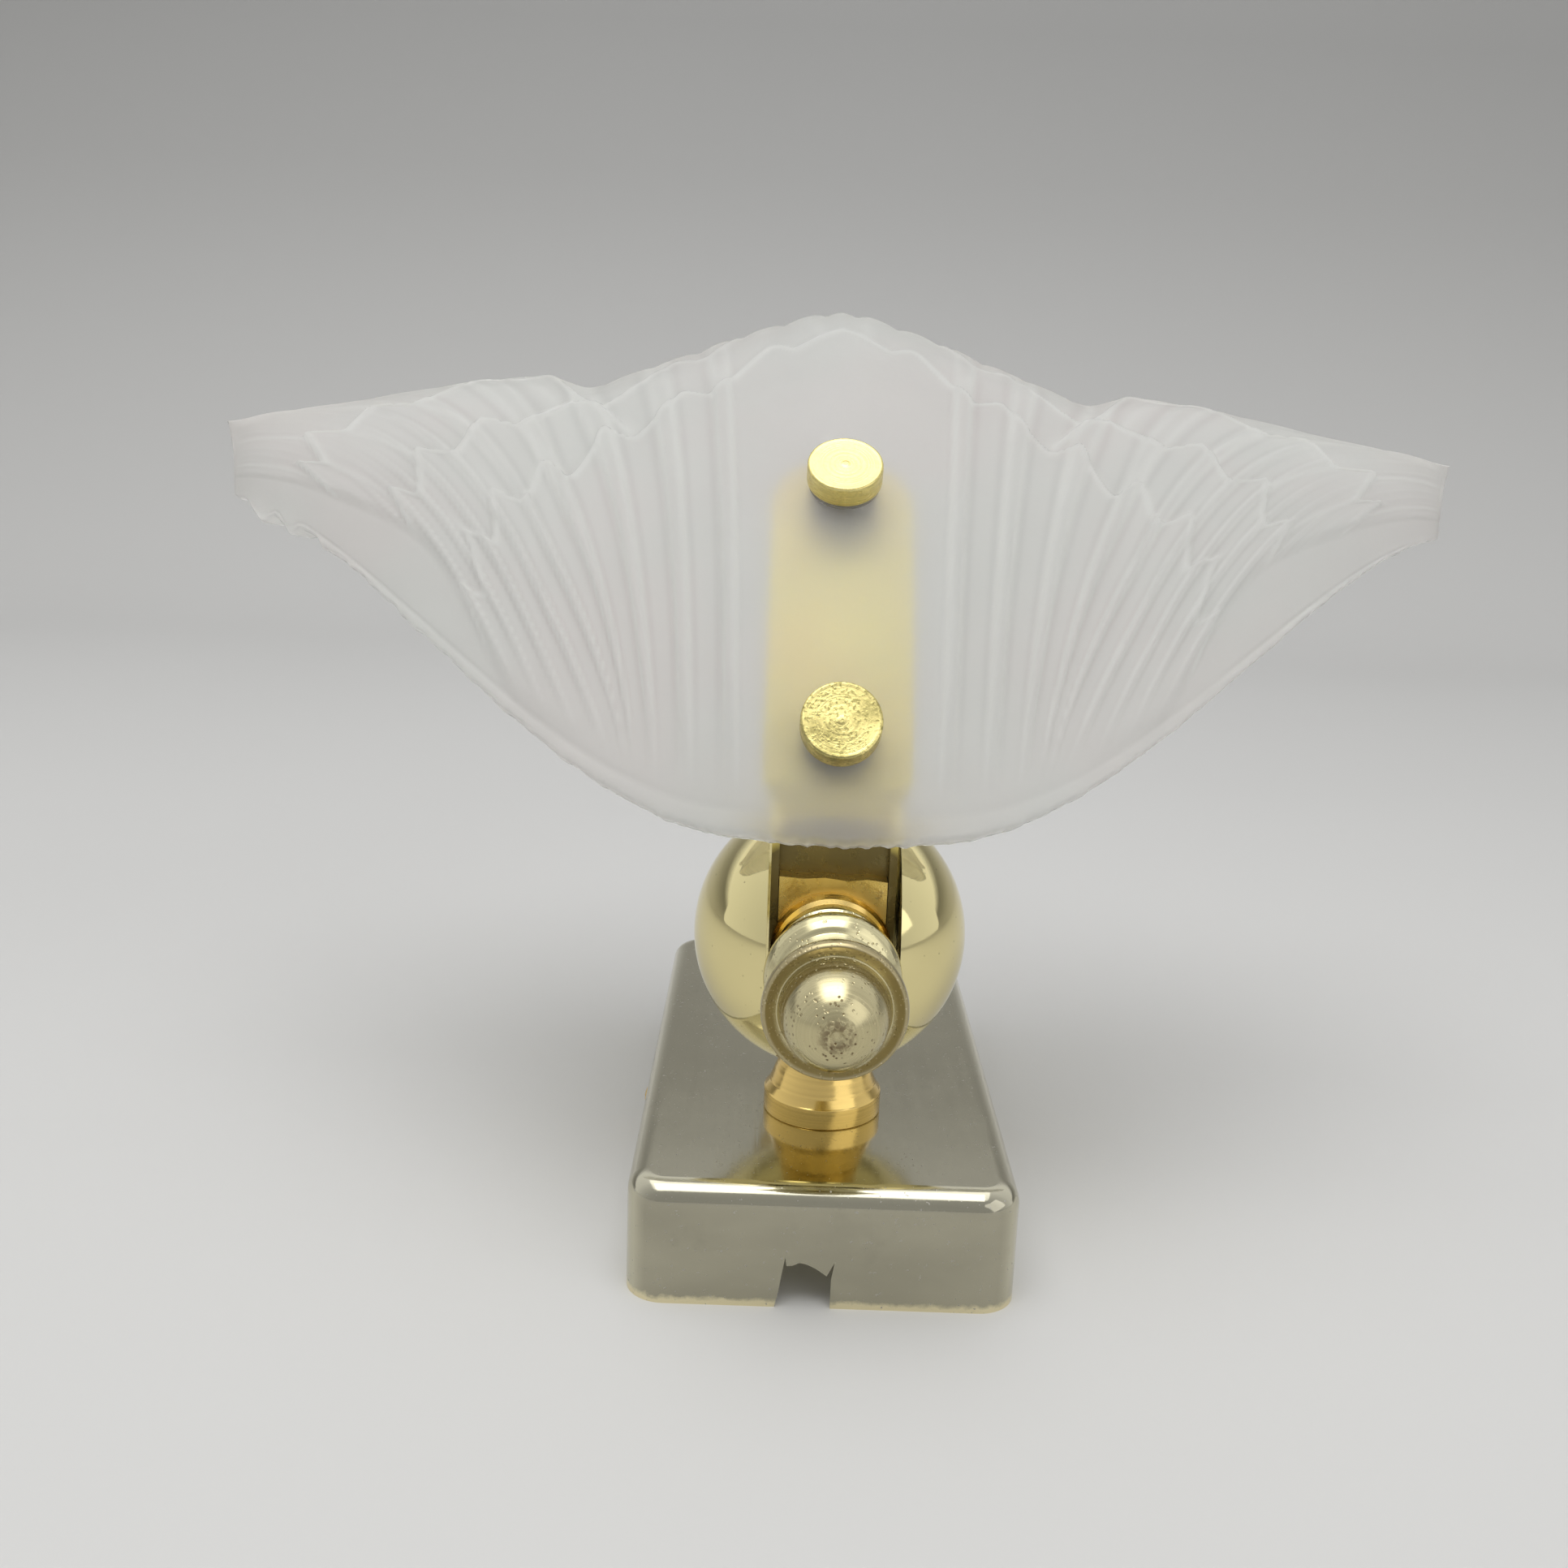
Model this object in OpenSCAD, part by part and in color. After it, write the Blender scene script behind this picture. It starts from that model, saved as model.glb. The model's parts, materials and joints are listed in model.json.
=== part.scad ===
// Uplighter wall light: pressed brass pan, collar, slotted ball, channel bracket and
// a fan-shaped pressed glass shade held by two thumbscrews.
// Frame: wall plane at y = 0, front towards -Y, +Z up, origin at the middle of the pan's back.

/* [Back plate] */
// Width of the pressed pan
plate_w = 65; // [60:1:80]
// Length of the pan up the wall
plate_l = 122; // [110:1:150]
// Depth of the pan from wall to front face
plate_d = 21; // [19:0.5:30]
// Sheet thickness of the pan
plate_t = 1; // [0.8:0.1:1.5]
// Radius of the four upright corners
plate_corner = 6.5; // [5:0.5:9]
// Radius of the pressed front edge
plate_edge = 3.6; // [2.5:0.1:4.5]
// Height of the collar axis above the pan's lower end
collar_up = 32.4; // [24:0.2:50]
// Width of the cable notch in the lower end
notch_w = 9.2; // [7:0.2:14]
// Height of the cable notch from the wall
notch_h = 8.2; // [5:0.2:10]
// Distance of the notch left of centre
notch_off = 3; // [0:0.5:8]

/* [Wall bar] */
// Distance between the two wall screws
bar_pitch = 44; // [38:1:46]
// Width of a wall screw slot
bar_slot_w = 4.6; // [3.5:0.1:5.5]
// End to end length of a wall screw slot
bar_slot_l = 9; // [7:0.5:11]
// Height of the bar
bar_w = 20; // [16:1:26]
// Thickness of the bar
bar_t = 1.5; // [1.2:0.1:2]
// Reach of the bar's bent ends out from the wall
bar_tab = 13; // [11:0.5:15]

/* [Collar and ball] */
// Diameter of the collar on the pan
collar_d = 21; // [18:0.5:26]
// Height of the collar's straight band
collar_band = 3.9; // [2.5:0.1:6]
// Diameter of the collar's neck under the ball
neck_d = 14.4; // [12.5:0.1:16]
// Clear height between pan and ball
neck_h = 9.5; // [7:0.5:14]
// Diameter of the ball
ball_d = 47.6; // [42:0.2:56]
// Outside diameter of the threaded tubes
tube_d = 10; // [9:0.5:11]
// Bore of the threaded tubes
tube_bore = 7; // [5:0.5:7.5]

/* [Bracket] */
// Width over the channel's two walls
channel_w = 21.2; // [18:0.2:24]
// Width of the flat strap behind the glass
strap_w = 24.6; // [22:0.2:27]
// Sheet thickness of the bracket
strap_t = 1.6; // [1.2:0.1:2]
// Depth of the channel's side walls in front of its web
channel_depth = 3.5; // [2.5:0.1:5]
// Thickness of the channel's side walls
channel_wall = 1.3; // [1:0.1:2]
// Distance from ball centre to the floor of its slot
slot_floor = 4.4; // [3:0.2:6]
// Gap each side between channel and slot
slot_gap = 0.4; // [0.3:0.05:0.8]

/* [Finial] */
// Diameter of the gold washer under the finial
washer_d = 20.6; // [18:0.2:21]
// Thickness of that washer
washer_t = 3; // [2:0.2:4]
// Diameter of the finial's bead
bead_d = 22.6; // [18:0.2:26]
// Diameter of the dished flange
flange_d = 23; // [19:0.2:28]
// Diameter of the domed end
dome_d = 16.6; // [12:0.2:18]
// Length of the finial in front of the ball's ears
finial_l = 26.6; // [22:0.2:36]

/* [Glass shade] */
// Width over the two tips
shade_w = 243; // [220:1:270]
// Straight height from lower lip to centre peak
shade_chord = 133; // [120:1:150]
// Lean of that line from upright
shade_lean = 49.4; // [44:0.2:54]
// Bow of the centre line in front of that straight line
shade_bow = 14; // [10:0.5:18]
// Glass thickness
shade_t = 5.4; // [4.5:0.1:6]
// Clear gap between the lower lip's outside and the ball
shade_lip_gap = 4.1; // [3.5:0.1:8]
// Height of the tips above the lower lip
tip_rise = 74; // [64:1:84]
// How far the tips stand further out than the lower lip
tip_out = 46.5; // [40:0.5:54]
// Height of the blunt end at each tip
tip_blunt = 13; // [9:0.5:16]
// How far a wing's rim stands further out than its tip
wing_out = 12.2; // [8:0.2:15]
// Depth of the fold between the centre lobe and a wing
fold_depth = 2.2; // [1:0.2:5]
// Flutes on each side
flutes = 10; // [8:1:12]
// Depth of a flute
flute_depth = 1; // [0.4:0.1:1.2]
// Step between overlapping feather rows
feather_step = 1.1; // [0.5:0.1:1.4]
// Crown of a feather above its edges
feather_depth = 0.7; // [0.3:0.1:1]

/* [Shade screws] */
// Distance of the lower hole from the lower lip
hole_edge = 18; // [15:0.5:24]
// Distance between the two holes
hole_pitch = 50; // [44:0.5:56]
// Diameter of the holes in the glass
hole_d = 7; // [6:0.1:8]
// Shank diameter of a thumbscrew
screw_d = 5; // [4:0.1:5.4]
// Head diameter of a thumbscrew
head_d = 13.6; // [11:0.2:16]
// Head thickness of a thumbscrew
head_t = 4.2; // [3:0.1:5]

/* [Lampholder] */
// Inside diameter of the small screw lamp socket
socket_d = 13.4; // [13:0.1:14]
// Depth of the socket
socket_l = 22; // [20:0.5:25]
// Outside diameter of the holder
holder_d = 23; // [21:0.5:26]

/* [Hidden] */
$fn = 64;

// Clearances
run_gap = 0.05;
seat_gap = 0.02;
part_gap = 0.3;
cut = 1;

// Places along the wall and out from the pan's front face
collar_z = -plate_l / 2 + collar_up;
ball_r = ball_d / 2;
ball_n = neck_h + ball_r;
tube_r = tube_d / 2;
slot_r = channel_w / 2 + slot_gap;
ear_s = sqrt(ball_r * ball_r - slot_r * slot_r);
web_s = -(slot_floor + strap_t);
wall_s = web_s - channel_depth;
foot_half = 11;
bead_s = -(ear_s + part_gap);
nipple_top = ball_n - foot_half - part_gap - 1;
clamp_top = ball_n + 12.7;
tube_grip = 6;
tube_low = bead_s - tube_grip;

// Lampholder stack above the ball
seat_r = 9;
seat_h = 2.6;
seat_nut_h = 4;
holder_s = sqrt(ball_r * ball_r - seat_r * seat_r) + seat_h + seat_nut_h;
cup_h = 12;
cup_t = 0.9;
cup_floor = 1.2;
shell_rise = 8;
shell_s = holder_s + shell_rise;
shell_t = 0.5;
contact_drop = 2.2;
contact_s = shell_s - contact_drop;
tube_top = contact_s - 0.8;

// Glass shade outline, in (x, up, out) measured on the pan's front face at the collar axis
lip_angle = 130.3;
lip_s = (ball_r + shade_lip_gap) * cos(lip_angle);
lip_n = ball_n + (ball_r + shade_lip_gap) * sin(lip_angle);
peak_s = lip_s + shade_chord * sin(shade_lean);
peak_n = lip_n + shade_chord * cos(shade_lean);
wing_fold = 0.43;
lobe_round = 0.06;

// Grid of the glass: the outside is finer than the inside by these steps
shade_nu = 120;
shade_nv = 26;
step_u = 3;
step_v = 2;
inner_nu = shade_nu / step_u;
inner_nv = shade_nv / step_v;

// Relief of the glass, in the grid's u and v
fan_back = 0.2;
fan_spread = 0.35;
fan_start = 0.17;
flute_pitch = 0.92 / flutes;
tier_slope = 0.75;
tier_scallop = 0.05;
flute_end = 0.925;
// Start, end, feather width in degrees and first feather of each row
feather_rows = [[0.9, 1.12, 7.2, 19.5], [1.09, 1.31, 9, 24], [1.28, 1.62, 12, 30]];

// Screws of the shade
pad_d = 12;
pad_relief = 1;
front_washer_t = 0.8;
front_washer_d = head_d - 0.8;
lower_v = hole_edge / shade_chord;
upper_v = (hole_edge + hole_pitch) / shade_chord;

// Lock nuts behind the pan
nut_af = 14;
nut_t = 3;
spring_t = 1;
stop_t = 1.2;
stop_ear_r = 13.4;
stop_ear_w = 5;
stud_r = 1.5;
stud_radius = 11.5;

// Small screws
side_screw_r = 1.75;
side_screw_y = 8;
terminal_h = 13;
terminal_w = 17;
terminal_z = 18;
wire_hole_r = 1.7;
clamp_screw_r = 1.8;
earth_x = 13.2;
small_head_r = 3.2;
small_head_h = 1.9;
screw_slot = 0.8;

// Local frames: on_plate has x, up the wall and out; on_axis has its z up through the ball
module on_plate() {
    translate([0, -plate_d, collar_z]) rotate([90, 0, 0]) children();
}

module on_axis() {
    translate([0, -plate_d - ball_n, collar_z]) children();
}

// Smooth step from 0 to 1 between a and b
function ease(a, b, x) =
    let (t = min(1, max(0, (x - a) / (b - a))))
    t * t * (3 - 2 * t);

// Lower edge, from the lip at u = 0 to a tip at u = 1 or -1
function shade_lower(u) =
    [shade_w / 2 * u, lip_s + tip_rise * pow(abs(u), 1.6), lip_n + tip_out * ease(0.15, 1, abs(u))];

// Straight fall from the centre with a rounded top
function lobe_fall(a) = sqrt(a * a + lobe_round * lobe_round) - lobe_round;

// Top rim with a centre lobe, two folds and two wings
function shade_rim(u) =
    let (a = abs(u), tip_s = lip_s + tip_rise + 1, tip_n = lip_n + tip_out + tip_blunt)
    let (wing_n = tip_n + wing_out, fold_n = wing_n - fold_depth)
    let (lobe = peak_n - (peak_n - fold_n) * lobe_fall(a) / lobe_fall(wing_fold))
    let (along = max(0, a - wing_fold - 0.08) / (1 - wing_fold - 0.08))
    let (wing = wing_n - wing_out * pow(along, 1.4))
    [shade_w / 2 * u,
     peak_s - (peak_s - tip_s) * u * u,
     lobe + (wing - lobe) * ease(wing_fold - 0.02, wing_fold + 0.07, a)];

// Plain outside face of the glass
function shade_face(u, v) =
    let (e = shade_lower(u), t = shade_rim(u))
    let (bow = shade_bow * (1 - u * u) * 4 * v * (1 - v))
    e + (t - e) * v + bow * [0, -cos(shade_lean), sin(shade_lean)];

function unit(a) = a / norm(a);

// Outward normal of the plain face
function shade_normal(u, v) =
    let (d = 0.01)
    unit(cross(shade_face(u + d, v) - shade_face(u - d, v), shade_face(u, v + d) - shade_face(u, v - d)));

// Place across the fan of flutes, 0 on the centre line
function fan(u, v) = abs(u) / sqrt(pow(v + fan_back, 2) + fan_spread * fan_spread);

// Rounded crown over one repeat, with a groove at each end
function crown(x) = 1 - pow(abs(2 * (x - floor(x)) - 1), 2.2);

// Fluted part: the flutes rise from the lip and stand proud at their ends
function flute_height(q, v, t) =
    let (side = ease(fan_start - 0.01, fan_start + 0.03, q), off_centre = ease(0.1, 0.3, q))
    side * flute_depth * crown((q - fan_start) / flute_pitch) * ease(0.03, 0.22, v)
        + feather_step * ease(0.55, flute_end, t) * off_centre
        + feather_step / 2 * ease(0.8, 0.9, v) * (1 - off_centre);

function flute_stop(q) =
    let (side = ease(fan_start - 0.01, fan_start + 0.03, q))
    flute_end - tier_scallop * (1 - crown((q - fan_start) / flute_pitch)) * side;

// Rounded end of a feather row and its height, which grows towards that end
function row_stop(row, angle) = row[1] - tier_scallop * (1 - crown((angle - row[3]) / row[2]));

function row_height(row, angle, t) =
    let (x = min(1, max(0, (t - row[0]) / (row_stop(row, angle) - row[0]))))
    feather_step * x + feather_depth * crown((angle - row[3]) / row[2]) * (0.35 + 0.65 * x);

// Flutes fan out from the lip, and feather rows overlap beyond them like tiles
function shade_relief(u, v) =
    let (a = abs(u), q = fan(u, v), t = v + tier_slope * q, angle = atan2(a + 0.095, v + 0.12))
    let (plain = 0.02 + 0.2 * ease(0.45, 0.65, a))
    let (height = t < flute_stop(q) ? flute_height(q, v, t)
        : t < row_stop(feather_rows[0], angle) ? row_height(feather_rows[0], angle, t)
        : t < row_stop(feather_rows[1], angle) ? row_height(feather_rows[1], angle, t)
        : 0.6 * row_height(feather_rows[2], angle, t))
    height * ease(plain, plain + 0.05, v) * (1 - ease(0.95, 0.995, a));

// Angle and place of the centre line at v, in up and out
function mid_face(v) = let (p = shade_face(0, v)) [p[1], p[2]];
function mid_angle(v) = let (d = mid_face(v + 0.01) - mid_face(v - 0.01)) atan2(d[1], d[0]);
function mid_inside(v, depth) =
    let (a = mid_angle(v))
    mid_face(v) + depth * [sin(a), -cos(a)];

// Local frame of a shade screw: z points out of the glass
module on_screw(v) {
    p = mid_face(v);
    on_plate() translate([0, p[0], p[1]]) rotate([mid_angle(v), 0, 0]) children();
}

module ring(r_out, r_in, h) {
    difference() {
        cylinder(h = h, r = r_out);
        translate([0, 0, -cut]) cylinder(h = h + 2 * cut, r = r_in);
    }
}

module rounded_rect(w, l, r) {
    square([w - 2 * r, l], center = true);
    square([w, l - 2 * r], center = true);
    for (x = [-1, 1], y = [-1, 1])
        translate([x * (w / 2 - r), y * (l / 2 - r)]) circle(r = r);
}

// Pan form with its base at z = 0 and a rolled front edge
module pan_form(w, l, d, corner, edge) {
    linear_extrude(d - edge) rounded_rect(w, l, corner);
    linear_extrude(d) rounded_rect(w - 2 * edge, l - 2 * edge, corner - edge);
    for (s = [-1, 1]) {
        translate([s * (w / 2 - edge), 0, d - edge])
            rotate([90, 0, 0]) cylinder(h = l - 2 * corner, r = edge, center = true);
        translate([0, s * (l / 2 - edge), d - edge])
            rotate([0, 90, 0]) cylinder(h = w - 2 * corner, r = edge, center = true);
    }
    for (x = [-1, 1], y = [-1, 1])
        translate([x * (w / 2 - corner), y * (l / 2 - corner), d - edge])
            rotate_extrude() intersection() {
                translate([corner - edge, 0]) circle(r = edge);
                translate([0, -edge]) square([corner, 2 * edge]);
            }
}

// Notch cut by hand: one side leans in, the saw has run on at both corners and the top is ragged
module notch_outline() {
    scale([notch_w, notch_h])
        polygon([[-0.5, -cut], [-0.5, 0], [-0.44, 0.3], [-0.36, 0.9], [-0.33, 1.1], [-0.3, 0.92],
            [-0.2, 0.93], [-0.07, 1], [0.05, 0.97], [0.22, 0.88], [0.42, 0.72], [0.55, 1.02],
            [0.5, 0.66], [0.5, -cut]]);
}

module back_plate() {
    color("darkkhaki") difference() {
        rotate([90, 0, 0]) pan_form(plate_w, plate_l, plate_d, plate_corner, plate_edge);
        rotate([90, 0, 0]) translate([0, 0, -cut])
            pan_form(plate_w - 2 * plate_t, plate_l - 2 * plate_t, plate_d - plate_t + cut,
                plate_corner - plate_t, plate_edge - plate_t);
        on_plate() translate([0, 0, -plate_t - cut])
            cylinder(h = plate_t + 2 * cut, r = tube_r + run_gap);
        for (s = [-1, 1])
            translate([s * plate_w / 2, -side_screw_y, 0]) rotate([0, 90, 0])
                cylinder(h = 4 * plate_t, r = side_screw_r + run_gap, center = true);
        translate([-notch_off, 0, -plate_l / 2 - plate_t])
            mirror([0, 1, 0]) linear_extrude(3 * plate_t) notch_outline();
    }
}

module mounting_bar() {
    reach = plate_w / 2 - plate_t - slot_gap / 2;
    color("silver") difference() {
        union() {
            translate([-reach, -bar_t, -bar_w / 2]) cube([2 * reach, bar_t, bar_w]);
            for (s = [-1, 1])
                translate([s * (reach - bar_t / 2) - bar_t / 2, -bar_tab, -bar_w / 4])
                    cube([bar_t, bar_tab, bar_w / 2]);
        }
        for (s = [-1, 1]) translate([s * bar_pitch / 2, cut, 0]) rotate([90, 0, 0])
            linear_extrude(bar_t + 2 * cut) {
                square([bar_slot_l - bar_slot_w, bar_slot_w], center = true);
                for (e = [-1, 1])
                    translate([e * (bar_slot_l - bar_slot_w) / 2, 0]) circle(d = bar_slot_w);
            }
        for (s = [-1, 1]) translate([s * reach, -side_screw_y, 0]) rotate([0, 90, 0])
            cylinder(h = 4 * bar_t, r = side_screw_r, center = true);
        for (x = [0, earth_x]) translate([x, cut, 0]) rotate([90, 0, 0])
            cylinder(h = bar_t + 2 * cut, r = side_screw_r);
    }
}

// Dome-headed screw, head underside at z = 0, shank downwards
module dome_screw(shank_r, shank_l, head_r, head_h) {
    dome_r = (head_r * head_r + head_h * head_h) / (2 * head_h);
    difference() {
        union() {
            intersection() {
                translate([0, 0, head_h - dome_r]) sphere(r = dome_r);
                cylinder(h = head_h, r = head_r);
            }
            translate([0, 0, -shank_l]) cylinder(h = shank_l + seat_gap, r = shank_r);
        }
        translate([-head_r, -screw_slot / 2, head_h * 0.45]) cube([2 * head_r, screw_slot, head_h]);
    }
}

module side_screws() {
    color("goldenrod") for (s = [-1, 1])
        translate([s * (plate_w / 2 + seat_gap), -side_screw_y, 0]) rotate([0, s * 90, 0])
            dome_screw(side_screw_r - seat_gap, plate_t + slot_gap + 2 * bar_t, small_head_r, small_head_h);
}

module terminal_block() {
    pole = terminal_w / 2;
    color("ivory") difference() {
        union() {
            for (s = [-1, 1])
                translate([s * pole / 2 - pole * 0.44, -bar_t - terminal_h, -terminal_z / 2])
                    cube([pole * 0.88, terminal_h, terminal_z]);
            translate([-pole / 2, -bar_t - terminal_h * 0.7, -terminal_z * 0.3])
                cube([pole, terminal_h * 0.7, terminal_z * 0.6]);
        }
        for (s = [-1, 1]) {
            translate([s * pole / 2, -bar_t - terminal_h * 0.45, 0])
                cylinder(h = terminal_z + 2 * cut, r = wire_hole_r, center = true);
            for (e = [-1, 1])
                translate([s * pole / 2, -bar_t - terminal_h - cut, e * terminal_z * 0.28])
                    rotate([-90, 0, 0]) cylinder(h = terminal_h * 0.4 + cut, r = clamp_screw_r);
        }
        translate([0, cut, 0]) rotate([90, 0, 0])
            cylinder(h = terminal_h + bar_t + 2 * cut, r = side_screw_r + run_gap);
        translate([0, -bar_t - terminal_h - cut, 0]) rotate([-90, 0, 0])
            cylinder(h = terminal_h * 0.6 + cut, r = small_head_r + run_gap);
    }
}

module terminal_screws() {
    pole = terminal_w / 2;
    color("tan") for (s = [-1, 1], e = [-1, 1])
        translate([s * pole / 2, -bar_t - terminal_h * 0.95, e * terminal_z * 0.28]) rotate([-90, 0, 0])
            difference() {
                cylinder(h = terminal_h * 0.35, r = clamp_screw_r - run_gap);
                translate([-clamp_screw_r, -screw_slot / 2, -cut])
                    cube([2 * clamp_screw_r, screw_slot, 2 * cut]);
            }
}

module block_screw() {
    color("silver") translate([0, -bar_t - terminal_h * 0.4 - seat_gap, 0]) rotate([90, 0, 0])
        dome_screw(side_screw_r - seat_gap, bar_t + terminal_h * 0.4 - part_gap,
            small_head_r - part_gap, small_head_h);
}

module earth_screw() {
    color("goldenrod") translate([earth_x, -bar_t - seat_gap, 0]) rotate([90, 0, 0]) {
        cylinder(h = cup_t, r = small_head_r + 0.7);
        translate([0, 0, cup_t])
            dome_screw(side_screw_r - seat_gap, bar_t + cup_t - part_gap, small_head_r, small_head_h);
    }
}

module stop_stud() {
    color("darkkhaki") on_plate()
        translate([0, -stud_radius, -plate_t - spring_t - stop_t - 1])
            cylinder(h = spring_t + stop_t + 1, r = stud_r);
}

// Turned collar: straight band, hollow cone and a cupped seat for the ball
module collar() {
    r = collar_d / 2;
    top = neck_h + 2.4;
    color("gold") on_plate() difference() {
        rotate_extrude()
            polygon([[tube_r + run_gap, 0], [r - 0.4, 0], [r, 0.4], [r, collar_band - 0.3],
                [r - 0.3, collar_band], [neck_d / 2 + 0.7, neck_h], [neck_d / 2, top],
                [tube_r + run_gap, top]]);
        translate([0, 0, ball_n]) sphere(r = ball_r + seat_gap);
    }
}

module ball_nipple() {
    lower = -plate_t - spring_t - stop_t - 2 * nut_t - 2;
    color("goldenrod") on_plate() translate([0, 0, lower])
        ring(tube_r, tube_bore / 2, nipple_top - lower);
}

module spring_washer() {
    color("silver") on_plate() translate([0, 0, -plate_t - spring_t])
        ring(tube_r + 3.4, tube_r + run_gap, spring_t);
}

// Keyed washer whose ear meets the stud on the pan
module stop_washer() {
    color("silver") on_plate() translate([0, 0, -plate_t - spring_t - stop_t]) difference() {
        union() {
            cylinder(h = stop_t, r = tube_r + 3.4);
            translate([-stop_ear_w / 2, 0, 0]) cube([stop_ear_w, stop_ear_r, stop_t]);
        }
        translate([0, 0, -cut]) cylinder(h = stop_t + 2 * cut, r = tube_r + run_gap);
    }
}

module lock_nuts() {
    color("goldenrod") on_plate() for (k = [1, 2])
        translate([0, 0, -plate_t - spring_t - stop_t - k * nut_t]) difference() {
            cylinder(h = nut_t - seat_gap, r = nut_af / sqrt(3), $fn = 6);
            translate([0, 0, -cut]) cylinder(h = nut_t + 2 * cut, r = tube_r + run_gap);
        }
}

// Ball with a slot for the bracket, a socket for the nipple and a through bore
module ball() {
    slot_low = ball_n - foot_half - part_gap;
    color("khaki") difference() {
        on_axis() sphere(r = ball_r);
        on_plate() translate([-slot_r, -ball_r - cut, slot_low])
            cube([2 * slot_r, ball_r + cut - slot_floor, ball_d]);
        on_plate() cylinder(h = nipple_top, r = tube_r + run_gap);
        on_plate() cylinder(h = ball_n, r = tube_bore / 2);
        on_axis() cylinder(h = 3 * ball_d, r = tube_r + run_gap, center = true);
    }
}

// Hollow tube up through the ball, with a window for the wires
module centre_tube() {
    color("goldenrod") on_axis() difference() {
        translate([0, 0, tube_low]) ring(tube_r, tube_bore / 2, tube_top - tube_low);
        rotate([-90, 0, 0]) cylinder(h = 2 * tube_r, r = tube_bore / 2 - 0.5);
    }
}

strap_steps = [for (v = [0.08 : 0.03 : upper_v + 0.13]) v];

// Fall of the glass's inside from its centre line to the strap's edge
function strap_sag(v) =
    let (lean = shade_normal(strap_w / shade_w, v)[0], out = shade_normal(0, v))
    let (u = (strap_w + 2 * shade_t * lean) / shade_w)
    (shade_face(0, v) - shade_face(u, v) + shade_t * (shade_normal(u, v) - out)) * out;

// Soft pads thick enough to keep the strap's edges clear of the glass
pad_t = part_gap + max([for (v = strap_steps) strap_sag(v)]);

// Front face of the strap from the foot to past the upper screw, in up and out
function strap_front() =
    let (depth = shade_t + pad_t)
    concat([[web_s, ball_n - foot_half], [web_s, lip_n + 2]],
        [for (v = strap_steps) mid_inside(v, depth)]);

function strap_back() =
    let (depth = shade_t + pad_t + strap_t)
    concat([[web_s + strap_t, ball_n - foot_half], [web_s + strap_t, lip_n + 2]],
        [for (v = strap_steps) mid_inside(v, depth)]);

function reversed(list) = [for (i = [len(list) - 1 : -1 : 0]) list[i]];

// Outline in up and out, drawn across the width of the strap
module across(w) {
    rotate([90, 0, 90]) linear_extrude(w, center = true) children();
}

// Outline of the bracket across and out: channel width in the ball, strap width behind the glass
module bracket_outline() {
    low = ball_n - foot_half;
    flare = lip_n + 3;
    for (s = [0, 1])
        mirror([s, 0])
            polygon([[0, low], [channel_w / 2, low], [channel_w / 2, flare], [strap_w / 2, flare + 4],
                [strap_w / 2, peak_n], [0, peak_n]]);
}

module shade_bracket() {
    color("gold") difference() {
        union() {
            intersection() {
                on_plate() across(max(strap_w, channel_w))
                    polygon(concat(strap_front(), reversed(strap_back())));
                on_plate() rotate([90, 0, 0]) linear_extrude(4 * ball_d, center = true) bracket_outline();
                union() {
                    on_plate() translate([-strap_w, -ball_d, 0])
                        cube([2 * strap_w, ball_d * 3, mid_face(upper_v)[1] - shade_t]);
                    on_screw(upper_v) cylinder(h = 2 * strap_w, d = strap_w, center = true);
                }
            }
            for (s = [-1, 1])
                on_plate() translate([s * (channel_w - channel_wall) / 2, 0, 0]) across(channel_wall)
                    polygon([[web_s, ball_n - foot_half], [wall_s, ball_n - foot_half],
                        [wall_s, lip_n - 0.5], [web_s, lip_n + 3]]);
        }
        on_axis() cylinder(h = 4 * ball_d, r = tube_r + run_gap, center = true);
        for (v = [lower_v, upper_v])
            on_screw(v) translate([0, 0, -shade_t - pad_t - strap_t - cut])
                cylinder(h = strap_t + 2 * cut, r = screw_d / 2 + run_gap);
    }
}

// Loose plate in the channel under the finial, with a ragged sheared top edge
module clamp_plate() {
    w = channel_w - 2 * channel_wall - part_gap;
    low = ball_n - foot_half;
    color("gold") on_plate() translate([0, web_s, 0]) rotate([90, 0, 0]) linear_extrude(channel_depth)
        difference() {
            polygon([[-w / 2, low], [w / 2, low], [w / 2, clamp_top - 0.5], [w * 0.31, clamp_top - 0.1],
                [w * 0.14, clamp_top - 0.5], [-w * 0.08, clamp_top], [-w * 0.27, clamp_top - 0.3],
                [-w / 2, clamp_top]]);
            translate([0, ball_n]) circle(r = tube_r + run_gap);
        }
}

module finial_washer() {
    r = washer_d / 2;
    color("gold") on_axis() translate([0, 0, wall_s - washer_t]) rotate_extrude()
        polygon([[tube_r + run_gap, 0], [r - 1.2, 0], [r - 0.5, 0.5], [r, washer_t * 0.55], [r, washer_t],
            [tube_r + run_gap, washer_t]]);
}

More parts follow.
